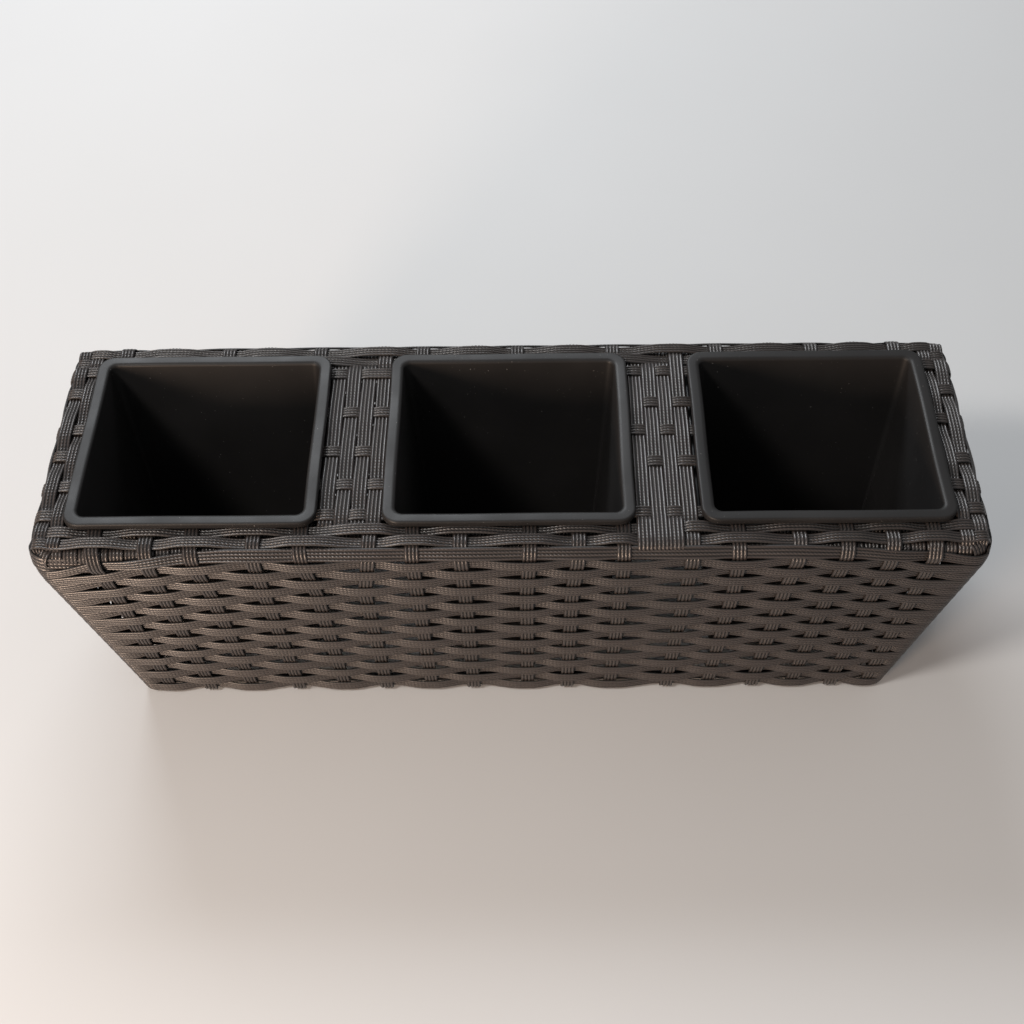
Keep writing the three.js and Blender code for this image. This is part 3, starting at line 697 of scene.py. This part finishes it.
# %% Rail windings
RAIL_LEVEL = 167.37 * MM
RAIL_BEND = 8 * MM
RAIL_TURN_RADIUS = 5.15 * MM
RAIL_SWELL = 2.4 * MM
STRAIGHT_SPARE = 0.2 * MM
for wall in WALLS:
    half = wall["next"]["rail"] - RAIL_BEND - STRAIGHT_SPARE
    rings = winding(wall, half, RAIL_TURN_RADIUS, wall["rail"], RAIL_LEVEL, RAIL_BEND, RAIL_SWELL)
    piece = woven_piece(f"winding_{wall['name']}", [(rings, False)])
    place(piece, "planter", "strand", f"rail_winding_{wall['name']}")
print("windings", len(WALLS))

# %% [markdown]
# ## Dividers
# Four strands run from front to back between two pots, over and under five ties. A tie's ends
# are turned down round the divider's two rods. `over` lists which strands each tie covers, as
# read off the picture, and a strand rises wherever it isn't covered.

# %% Divider weave
DIVIDERS = [
    {"node": "divider_weave_1", "strands": [-115.2, -105.1, -95.0, -84.9],
     "ties": [(-62.3, (0, 2)), (-37.0, (1, 3)), (-8.4, (0, 2)), (27.0, (1, 3)), (63.2, (0, 2, 3))],
     "middle": -100, "over_front": ()},
    {"node": "divider_weave_2", "strands": [84.8, 94.5, 104.2, 113.9],
     "ties": [(-62.0, (0, 2)), (-19.0, (1, 3)), (8.6, (0, 2)), (34.0, (1, 3)), (63.5, (0, 2))],
     "middle": 100, "over_front": (0, 1, 2)},
]
RISE = 0.72 * MM
DIVIDER_STRAND_WIDTH = 9.9 * MM
# Ends of a divider's strands, as stops of (place, height). The last strand runs on a little.
ROD_FRONT, ROD_BACK = [(-71.5 * MM, -0.5 * MM)], [(71.5 * MM, -0.5 * MM)]
OVER_FRONT = [(-91.2 * MM, -2.2 * MM), (-88.2 * MM, 0.8 * MM), (-84.5 * MM, 1.5 * MM),
              (-72.5 * MM, 1.5 * MM)]
LAST_STRAND = 3
LAST_FRONT, LAST_BACK = [(-75.0 * MM, -0.5 * MM)], [(74.9 * MM, 1.0 * MM), (83.2 * MM, -0.4 * MM)]
TIE_HALF = 23.5 * MM
TIE_DROP = 9.5 * MM
TIE_BEND = 2.2 * MM
TIE_STEP, TIE_STOP_STEP = 1.6 * MM, 1 * MM
TIE_FLAT = 1 * MM


def divider_strand(divider, number):
    stops = [(y * MM, -RISE if number in over else RISE) for y, over in divider["ties"]]
    front = OVER_FRONT if number in divider["over_front"] else ROD_FRONT
    back = ROD_BACK
    if number == LAST_STRAND:
        front, back = LAST_FRONT, LAST_BACK
    at, height = stops_to_route(front + stops + back, ROUTE_STEP, hold=0.12)
    centre = np.stack([np.full(len(at), divider["strands"][number] * MM), at, TOP_LEVEL + height], -1)
    out = unit(np.cross(RIGHT, np.gradient(centre, axis=0)))
    return strand_rings(centre, RIGHT, out, DIVIDER_STRAND_WIDTH)


def divider_tie(divider, y, over):
    middle, half = divider["middle"] * MM, TIE_HALF
    points = np.array([(-half, -TIE_DROP), (-half, 0), (half, 0), (half, -TIE_DROP)], float)
    line = rounded(points, [TIE_BEND, TIE_BEND], TIE_STEP)
    stops = [(-half, 0.0)]
    for number, x in enumerate(divider["strands"]):
        stops.append((x * MM - middle, RISE if number in over else -RISE))
    stops.append((half, 0.0))
    at, height = stops_to_route(stops, TIE_STOP_STEP, hold=0.15)
    flat = line[:, 1] > -TIE_FLAT
    line[:, 1] += np.where(flat, np.interp(line[:, 0], at, height), 0)
    along = unit(np.gradient(line, axis=0))
    centre = np.stack([line[:, 0] + middle, np.full(len(line), y), TOP_LEVEL + line[:, 1]], -1)
    out = np.stack([-along[:, 1], np.zeros(len(line)), along[:, 0]], -1)
    return strand_rings(centre, AWAY, out)


for divider in DIVIDERS:
    lengths = [(divider_strand(divider, number), False) for number in range(4)]
    lengths += [(divider_tie(divider, y * MM, over), False) for y, over in divider["ties"]]
    piece = woven_piece(divider["node"] + "_strands", lengths)
    place(piece, "planter", "strand", divider["node"])
print("dividers", len(DIVIDERS))

# %% [markdown]
# ## Pots
# A pot is one moulded shell. It starts as a single face, the outside of the floor, with its
# four corners bevelled round. Extruding that face again and again, and moving each new ring of
# vertices to its own rounded rectangle, goes up the outside, round under the rim, over its
# edge and down the inside. Bevels on the rim's edges finish it.

# %% Pot shell
RIM_HALF = (79.5 * MM, 75.0 * MM)
RIM_TOP = 183.17 * MM
RIM_THICKNESS = 1.8 * MM
RIM_LIP = 1.5 * MM
LIP_DEPTH = 4 * MM
RIM_ROUND = 1.2 * MM
RIM_RADIUS, BODY_RADIUS, LEAST_RADIUS = 11 * MM, 9.4 * MM, 1.2 * MM
POT_DEPTH = 152 * MM
POT_WALL = 1.5 * MM
BODY_INSET = 6.8 * MM
DRAFT = 0.069
# Rings over the rim's top and down into the pot, as millimetres in from its edge and up
MOUTH = ((1.9, 0), (5.4, 0), (6.3, -0.1), (7.3, -0.45), (8.0, -1.15), (8.3, -2.1))
TOP_EDGE = 4
CORNER_STEPS = 8
LONG_EDGE, SIDE_CUTS = 60 * MM, 14
RIM_WAVER = 0.2 * MM
WAVER_DEPTH = 20 * MM
SHARP_ANGLE = 38


def finished(bm, name, angle=SHARP_ANGLE):
    """A bmesh as an object with smooth faces and sharp edges kept."""
    bmesh.ops.recalc_face_normals(bm, faces=bm.faces)
    mesh = bpy.data.meshes.new(name)
    bm.to_mesh(mesh)
    bm.free()
    mesh.polygons.foreach_set("use_smooth", [True] * len(mesh.polygons))
    mesh.set_sharp_from_angle(angle=math.radians(angle))
    return new_object(name, mesh)


def move_ring(verts, old, new):
    """Moves a ring from one rounded rectangle (half X, half Y, radius) and level to another."""
    for vert in verts:
        sign_x, sign_y = math.copysign(1, vert.co.x), math.copysign(1, vert.co.y)
        was = Vector((sign_x * (old[0] - old[2]), sign_y * (old[1] - old[2]), 0))
        now = Vector((sign_x * (new[0] - new[2]), sign_y * (new[1] - new[2]), 0))
        arm = Vector((vert.co.x, vert.co.y, 0)) - was
        vert.co = now + arm * (new[2] / old[2]) + Vector((0, 0, new[3]))


def pot_ring(inset, level):
    radius = max(RIM_RADIUS - inset, BODY_RADIUS - inset / 2, LEAST_RADIUS)
    return (RIM_HALF[0] - inset, RIM_HALF[1] - inset, radius, level)


def pot_shell(name, at):
    draft = DRAFT * (POT_DEPTH - RIM_THICKNESS)
    steps = [
        pot_ring(BODY_INSET + draft, -POT_DEPTH),
        pot_ring(BODY_INSET, -RIM_THICKNESS),
        pot_ring(RIM_LIP, -RIM_THICKNESS),
        pot_ring(RIM_LIP, -LIP_DEPTH),
        pot_ring(0, -LIP_DEPTH),
        pot_ring(0, 0),
    ]
    steps += [pot_ring(inset * MM, up * MM) for inset, up in MOUTH]
    steps.append(pot_ring(BODY_INSET + POT_WALL + draft, -POT_DEPTH + POT_WALL))
    bm = bmesh.new()
    base = steps[0]
    bmesh.ops.create_grid(bm, x_segments=1, y_segments=1, size=1)
    bmesh.ops.scale(bm, vec=(base[0], base[1], 1), verts=bm.verts)
    bmesh.ops.bevel(bm, geom=list(bm.verts), offset=base[2], segments=CORNER_STEPS,
                    affect="VERTICES", profile=0.5, material=-1)
    bmesh.ops.translate(bm, vec=(0, 0, base[3]), verts=bm.verts)
    face = bm.faces[:][0]
    rims = []
    for old, new in zip(steps[:-1], steps[1:]):
        last = face
        grown = bmesh.ops.extrude_face_region(bm, geom=[last])
        face = next(item for item in grown["geom"] if isinstance(item, bmesh.types.BMFace))
        if rims and last.is_valid:
            bmesh.ops.delete(bm, geom=[last], context="FACES_ONLY")
        move_ring(face.verts, old, new)
        rims.append(list(face.edges))
    print(name, "open edges", sum(edge.is_boundary for edge in bm.edges))
    bmesh.ops.bevel(bm, geom=rims[TOP_EDGE], offset=RIM_ROUND, segments=4, affect="EDGES",
                    profile=0.5, material=-1)
    long = [edge for edge in bm.edges if edge.calc_length() > LONG_EDGE
            and abs(edge.verts[0].co.z - edge.verts[1].co.z) < MM]
    bmesh.ops.subdivide_edges(bm, edges=long, cuts=SIDE_CUTS)
    for vert in bm.verts:
        soft = RIM_WAVER * min(max(1 + vert.co.z / WAVER_DEPTH, 0), 1)
        vert.co.x += soft * math.sin(vert.co.y * 62 + at * 31)
        vert.co.y += soft * 0.7 * math.sin(vert.co.x * 55 + at * 17)
    bmesh.ops.translate(bm, vec=(at, 0, RIM_TOP), verts=bm.verts)
    return finished(bm, name)


pots = []
for label, at in (("left", -200), ("middle", 0), ("right", 200)):
    piece = pot_shell(f"pot_{label}_shell", at * MM)
    pots.append(place(piece, f"pot_{label}", "pot", f"pot_{label}"))
print("pots", len(pots))

# %% [markdown]
# ## Steel frame and glides
# Under the strand are round bars and tubes, coated black. A bar is a cone with two equal radii
# and its ends bevelled. The top rail is one tube bent to a loop: a circle extruded along each
# straight and spun round each bend, as a tube bender would do it.

# %% Bars, posts and glides
ROD_RADIUS, FOOT_ROD_RADIUS, POST_RADIUS = 2 * MM, 3 * MM, 3 * MM
POST_FOOT, POST_TOP = 2.9 * MM, 162.57 * MM
POST_INSET = 0.7 * MM
GLIDE_RADIUS, GLIDE_HEIGHT = 4.6 * MM, 2.6 * MM
BAR_CHAMFER, GLIDE_CHAMFER = 0.4 * MM, 0.6 * MM


def bar(name, start, end, radius, chamfer=BAR_CHAMFER):
    bm = bmesh.new()
    aimed = (end - start).to_track_quat("Z", "Y").to_matrix().to_4x4()
    matrix = Matrix.Translation((start + end) / 2) @ aimed
    bmesh.ops.create_cone(bm, cap_ends=True, segments=24, radius1=radius, radius2=radius,
                          depth=(end - start).length, matrix=matrix)
    rims = [edge for edge in bm.edges if any(len(face.verts) > 4 for face in edge.link_faces)]
    bmesh.ops.bevel(bm, geom=rims, offset=chamfer, segments=2, affect="EDGES", profile=0.5,
                    material=-1)
    return finished(bm, name)


def along_node(name, axis, radius, node):
    """A round bar in the place of a CAD node, along one axis."""
    low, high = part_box(node)
    start, end = Vector((low + high) / 2), Vector((low + high) / 2)
    start[axis], end[axis] = low[axis], high[axis]
    return place(bar(name, start, end, radius), "planter", "steel", node)


def post_at(sign_x, sign_y, level):
    """The middle of a corner post at a level. The posts lean in with the walls."""
    depth, inset = depth_at(level), corner_radius(level) - POST_INSET
    return Vector((sign_x * (END["half"] - END["lean"] * depth - inset),
                   sign_y * (SIDE["half"] - SIDE["lean"] * depth - inset), level))


bars = [along_node(f"rod_{n}", 1, ROD_RADIUS, f"cross_rod_{n}") for n in range(1, 7)]
bars += [along_node(f"rod_{n}", 0, ROD_RADIUS, f"inner_rod_{n}") for n in ("front", "back")]
for axis, names in ((0, ("front", "back")), (1, ("left", "right"))):
    bars += [along_node(f"foot_rod_{n}", axis, FOOT_ROD_RADIUS, f"bottom_rod_{n}") for n in names]
for name, sx, sy in (("front_left", -1, -1), ("front_right", 1, -1), ("back_right", 1, 1),
                     ("back_left", -1, 1)):
    start, end = post_at(sx, sy, POST_FOOT), post_at(sx, sy, POST_TOP)
    post = place(bar(f"post_{name}", start, end, POST_RADIUS), "planter", "steel",
                 f"corner_post_{name}")
    foot = Vector((start.x, start.y, 0))
    top = Vector((start.x, start.y, GLIDE_HEIGHT))
    glide = bar(f"foot_{name}", foot, top, GLIDE_RADIUS, GLIDE_CHAMFER)
    bars += [post, place(glide, "planter", "glide", f"glide_{name}")]
print("bars, posts and glides", len(bars))

# %% Top rail
RAIL_RADIUS = 4.5 * MM
RAIL_SHARP = 60


def top_rail():
    half_x, half_y, bend = END["rail"], SIDE["rail"], RAIL_BEND
    bm = bmesh.new()
    start = Vector((-half_x + bend, -half_y, RAIL_LEVEL))
    bmesh.ops.create_circle(bm, segments=20, radius=RAIL_RADIUS,
                            matrix=Matrix.Translation(start) @ Matrix.Rotation(math.pi / 2, 4, "Y"))
    ring = list(bm.edges)
    for x, y in ((1, 0), (0, 1), (-1, 0), (0, -1)):
        length = 2 * ((half_x if x else half_y) - bend)
        grown = bmesh.ops.extrude_edge_only(bm, edges=ring)["geom"]
        verts = [item for item in grown if isinstance(item, bmesh.types.BMVert)]
        ring = [item for item in grown if isinstance(item, bmesh.types.BMEdge)
                and item.verts[0] in verts and item.verts[1] in verts]
        bmesh.ops.translate(bm, vec=(x * length, y * length, 0), verts=verts)
        centre = sum((vert.co for vert in verts), Vector()) / len(verts)
        pivot = centre + Vector((-y, x, 0)) * bend
        spun = bmesh.ops.spin(bm, geom=ring + verts, cent=pivot, axis=(0, 0, 1),
                              angle=math.pi / 2, steps=6, use_merge=False, use_duplicate=False)
        ring = [item for item in spun["geom_last"] if isinstance(item, bmesh.types.BMEdge)]
    bmesh.ops.remove_doubles(bm, verts=bm.verts, dist=1e-5)
    print("rail open edges", sum(edge.is_boundary for edge in bm.edges))
    return finished(bm, "rail_loop", RAIL_SHARP)


place(top_rail(), "planter", "steel", "top_rail")

# %% [markdown]
# ## Finishes
# Several effects are used by more than one finish, so each is a shader group with named inputs
# and outputs, built once. The shaders themselves stay in each material.

# %% Helpers for nodes
def new_group(name, inputs, outputs):
    tree = bpy.data.node_groups.new(name, "ShaderNodeTree")
    for label, kind, value in inputs:
        socket = tree.interface.new_socket(name=label, in_out="INPUT", socket_type=kind)
        if value is not None:
            socket.default_value = value
    for label, kind in outputs:
        tree.interface.new_socket(name=label, in_out="OUTPUT", socket_type=kind)
    return tree, tree.nodes.new("NodeGroupInput").outputs, tree.nodes.new("NodeGroupOutput").inputs


def wire(tree, value, socket):
    if isinstance(value, bpy.types.NodeSocket):
        tree.links.new(value, socket)
    elif value is not None:
        socket.default_value = value


def maths(tree, operation, a, b=None, c=None):
    node = tree.nodes.new("ShaderNodeMath")
    node.operation = operation
    for value, socket in zip((a, b, c), node.inputs):
        wire(tree, value, socket)
    return node.outputs[0]


def noise(tree, vector, scale, detail=3.0, roughness=0.55):
    node = tree.nodes.new("ShaderNodeTexNoise")
    wire(tree, vector, node.inputs["Vector"])
    wire(tree, scale, node.inputs["Scale"])
    node.inputs["Detail"].default_value = detail
    node.inputs["Roughness"].default_value = roughness
    return node.outputs["Fac"]


def spread_out(tree, value, low, high, to_low=0.0, to_high=1.0):
    node = tree.nodes.new("ShaderNodeMapRange")
    for part, socket in zip((value, low, high, to_low, to_high), node.inputs):
        wire(tree, part, socket)
    return node.outputs[0]


def mixed(tree, share, a, b):
    node = tree.nodes.new("ShaderNodeMix")
    node.data_type = "RGBA"
    wire(tree, share, node.inputs["Factor"])
    wire(tree, a, node.inputs["A"])
    wire(tree, b, node.inputs["B"])
    return node.outputs["Result"]


def use_group(tree, group, **values):
    node = tree.nodes.new("ShaderNodeGroup")
    node.node_tree = group
    for label, value in values.items():
        wire(tree, value, node.inputs[label.replace("_", " ")])
    return node.outputs


print("node helpers ready")

# %% [markdown]
# ### Cords of the strand
# Each strand is four cords. The second is twisted hard and shows short slanting turns, the third
# less so, and the outer two are nearly plain. The strand paints the grooves between them dark as
# shade, and the turns paler as highlight. The UV map gives the metres along the strand and the
# place across it, so all of this follows bends.

# %% Group: cords
twist, given, result = new_group(
    "Cords",
    [("Place", "NodeSocketVector", None), ("Turn length", "NodeSocketFloat", 2.5 * MM)],
    [("Turn", "NodeSocketFloat"), ("Groove", "NodeSocketFloat"), ("Crest", "NodeSocketFloat"),
     ("Height", "NodeSocketFloat")],
)
parts = twist.nodes.new("ShaderNodeSeparateXYZ")
wire(twist, given["Place"], parts.inputs[0])
ridge = maths(twist, "MULTIPLY", parts.outputs[1], float(CORDS))
within = maths(twist, "FRACT", ridge)
whole = maths(twist, "FLOOR", ridge)
hard = maths(twist, "MULTIPLY_ADD", maths(twist, "COMPARE", whole, 1.0, 0.1), 0.6, 0.35)
hard = maths(twist, "MULTIPLY_ADD", maths(twist, "COMPARE", whole, 2.0, 0.1), 0.3, hard)
turns = maths(twist, "DIVIDE", parts.outputs[0], given["Turn length"])
phase = maths(twist, "FRACT", maths(twist, "ADD", turns, maths(twist, "MULTIPLY", within, 0.9)))
hump = maths(twist, "POWER", maths(twist, "SINE", maths(twist, "MULTIPLY", phase, math.pi)), 1.4)
turn_mask = maths(twist, "MULTIPLY", hump, hard)
wire(twist, turn_mask, result["Turn"])
away = maths(twist, "ABSOLUTE", maths(twist, "SUBTRACT", within, 0.5))
wire(twist, spread_out(twist, away, 0.26, 0.45), result["Groove"])
wire(twist, spread_out(twist, away, 0.3, 0.0), result["Crest"])
wire(twist, maths(twist, "SUBTRACT", turn_mask, spread_out(twist, away, 0.0, 0.5)), result["Height"])
print("group", twist.name)

# %% [markdown]
# ### Weathering
# Plastic left outdoors isn't one even colour: broad cloudy patches, and specks of pale dust.

# %% Group: weathering
weather, given, result = new_group(
    "Weathering",
    [("Place", "NodeSocketVector", None), ("Patch size", "NodeSocketFloat", 14.0),
     ("Speck size", "NodeSocketFloat", 900.0), ("Speck limit", "NodeSocketFloat", 0.74)],
    [("Patches", "NodeSocketFloat"), ("Specks", "NodeSocketFloat")],
)
cloud = noise(weather, given["Place"], given["Patch size"], 4, 0.5)
wire(weather, spread_out(weather, cloud, 0.35, 0.65), result["Patches"])
fine = noise(weather, given["Place"], given["Speck size"], 1, 0.5)
wire(weather, maths(weather, "GREATER_THAN", fine, given["Speck limit"]), result["Specks"])
print("group", weather.name)

# %% Helpers for materials
def new_material(name, roughness):
    material = bpy.data.materials.new(name)
    material.use_nodes = True
    tree = material.node_tree
    shader = tree.nodes["Principled BSDF"]
    shader.inputs["Roughness"].default_value = roughness
    spot = tree.nodes.new("ShaderNodeTexCoord").outputs["Object"]
    return material, tree, shader, spot


def bumped(tree, shader, height, strength, distance):
    bump = tree.nodes.new("ShaderNodeBump")
    wire(tree, height, bump.inputs["Height"])
    bump.inputs["Strength"].default_value = strength
    bump.inputs["Distance"].default_value = distance
    tree.links.new(bump.outputs["Normal"], shader.inputs["Normal"])


def dress(piece, material):
    piece.data.materials.clear()
    piece.data.materials.append(material)


def patchy(tree, worn, dark, pale, shader=None):
    """A colour that changes in patches. It goes straight to a shader where one is given."""
    colour = mixed(tree, worn["Patches"], dark, pale)
    if shader:
        wire(tree, colour, shader.inputs["Base Color"])
    return colour


print("material helpers ready")

# %% [markdown]
# ### Strand
# Dark brown polythene with a soft gloss. The crests of the cords are paler, partly worn and partly
# painted highlight; the turns of the twist carry a painted highlight and the grooves painted shade.

# %% Material: strand
BROWN, FADED_BROWN = (0.0165, 0.0118, 0.0105, 1), (0.027, 0.0196, 0.0176, 1)
# Crest colour: paler from wear and as painted highlight. Turn colour: painted highlight on the twist.
CREST_WEAR_AND_SHEEN, TURN_SHEEN = (0.056, 0.043, 0.038, 1), (0.08, 0.069, 0.061, 1)
# Painted shade in the grooves between the cords.
GROOVE_SHADE = (0.003, 0.0026, 0.0024, 1)
strand, tree, shader, spot = new_material("Brown strand", 0.26)
shader.inputs["Specular IOR Level"].default_value = 0.7
sheet = tree.nodes.new("ShaderNodeUVMap")
sheet.uv_map = "strand"
cords = use_group(tree, twist, Place=sheet.outputs[0])
worn = use_group(tree, weather, Place=spot, Patch_size=11.0)
brown = patchy(tree, worn, BROWN, FADED_BROWN)
# Crests made paler: part wear, part painted highlight.
brown = mixed(tree, maths(tree, "MULTIPLY", cords["Crest"], 0.45), brown, CREST_WEAR_AND_SHEEN)
# Painted highlight on the turns of the twist.
brown = mixed(tree, maths(tree, "MULTIPLY", cords["Turn"], 0.45), brown, TURN_SHEEN)
# Painted shade darkens the grooves.
brown = mixed(tree, cords["Groove"], brown, GROOVE_SHADE)
stretched = tree.nodes.new("ShaderNodeMapping")
wire(tree, sheet.outputs[0], stretched.inputs["Vector"])
stretched.inputs["Scale"].default_value = (30, 40, 1)
lines = noise(tree, stretched.outputs[0], 1.0)
wire(tree, brown, shader.inputs["Base Color"])
gloss = maths(tree, "ADD", spread_out(tree, lines, 0.3, 0.7, 0.29, 0.4),
              maths(tree, "MULTIPLY", cords["Groove"], 0.45))
wire(tree, gloss, shader.inputs["Roughness"])
bumped(tree, shader, cords["Height"], 0.8, 0.2 * MM)
print("material", strand.name)

# %% [markdown]
# ### Pots and steel
# The pots are a satin dark grey, finely pebbled by their mould. The steel has a black
# powder coat with a slight orange peel, and the glides are plain black plastic, unevenly worn.

# %% Materials: pot, steel and glide
POT_GREY, POT_PALER = (0.013, 0.0124, 0.0124, 1), (0.02, 0.0188, 0.0185, 1)
DUST = (0.3, 0.29, 0.28, 1)
COAT, COAT_PALER = (0.012, 0.012, 0.013, 1), (0.022, 0.022, 0.023, 1)
GLIDE_BLACK, GLIDE_WORN = (0.012, 0.012, 0.012, 1), (0.03, 0.029, 0.028, 1)
pot, tree, shader, spot = new_material("Pot plastic", 0.45)
shader.inputs["Specular IOR Level"].default_value = 0.25
worn = use_group(tree, weather, Place=spot, Patch_size=9.0, Speck_size=700.0, Speck_limit=0.79)
grey = patchy(tree, worn, POT_GREY, POT_PALER)
grey = mixed(tree, maths(tree, "MULTIPLY", worn["Specks"], 0.5), grey, DUST)
wire(tree, grey, shader.inputs["Base Color"])
grain = noise(tree, spot, 1400.0, 2)
wire(tree, spread_out(tree, noise(tree, spot, 25.0), 0.3, 0.7, 0.4, 0.52), shader.inputs["Roughness"])
bumped(tree, shader, grain, 0.25, 0.08 * MM)

steel, tree, shader, spot = new_material("Black coated steel", 0.4)
worn = use_group(tree, weather, Place=spot, Patch_size=20.0)
patchy(tree, worn, COAT, COAT_PALER, shader)
wire(tree, spread_out(tree, noise(tree, spot, 60.0), 0.3, 0.7, 0.32, 0.48), shader.inputs["Roughness"])
bumped(tree, shader, noise(tree, spot, 500.0, 2), 0.3, 0.1 * MM)

glide, tree, shader, spot = new_material("Glide plastic", 0.55)
worn = use_group(tree, weather, Place=spot, Patch_size=120.0)
patchy(tree, worn, GLIDE_BLACK, GLIDE_WORN, shader)
bumped(tree, shader, noise(tree, spot, 800.0, 2), 0.3, 0.1 * MM)

finishes = {"strand": strand, "pot": pot, "steel": steel, "glide": glide}
dressed = 0
for piece in list(bpy.context.scene.objects):
    if piece.type == "MESH" and piece.get("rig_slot") in finishes:
        dress(piece, finishes[piece["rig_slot"]])
        dressed += 1
print("pieces dressed", dressed)

# %% [markdown]
# ## Floor and light
# A pale floor and soft light: a small warm white lamp high at the front left, a broad cool one
# high behind the box, a low warm one at the front left, and an even world for the rest.

# %% Floor, lamps and world
FLOOR_HALF = 4
WORLD_COLOUR, WORLD_STRENGTH = (0.97, 0.98, 1.0, 1), 0.27
bm = bmesh.new()
bmesh.ops.create_grid(bm, x_segments=1, y_segments=1, size=FLOOR_HALF)
floor = finished(bm, "floor")
pale, tree, shader, spot = new_material("Pale floor", 0.8)
tint = mixed(tree, noise(tree, spot, 3.0), (0.60, 0.597, 0.592, 1), (0.635, 0.633, 0.63, 1))
wire(tree, tint, shader.inputs["Base Color"])
dress(floor, pale)


def lamp(name, place_at, aim, size, power, colour):
    light = bpy.data.lights.new(name, "AREA")
    light.shape = "RECTANGLE"
    light.size, light.size_y = size
    light.energy = power
    light.color = colour
    piece = new_object(name, light)
    piece.location = place_at
    piece.visible_camera = False
    piece.rotation_euler = (Vector(aim) - Vector(place_at)).to_track_quat("-Z", "Y").to_euler()


lamp("window", (-1.15, -0.9, 1.95), (0, 0, 0.1), (0.42, 0.42), 24, (1.0, 0.95, 0.9))
lamp("sky", (-0.55, 1.5, 1.55), (-0.1, 0, 0.15), (1.4, 0.6), 33, (0.92, 0.96, 1.0))
lamp("low warm", (-1.0, -1.35, 0.38), (-0.2, 0, 0.08), (0.4, 0.4), 26, (1.0, 0.74, 0.56))
world = bpy.data.worlds.new("studio")
bpy.context.scene.world = world
world.use_nodes = True
backdrop = world.node_tree.nodes["Background"].inputs
backdrop["Color"].default_value = WORLD_COLOUR
backdrop["Strength"].default_value = WORLD_STRENGTH
bpy.context.scene.view_settings.view_transform = "Standard"
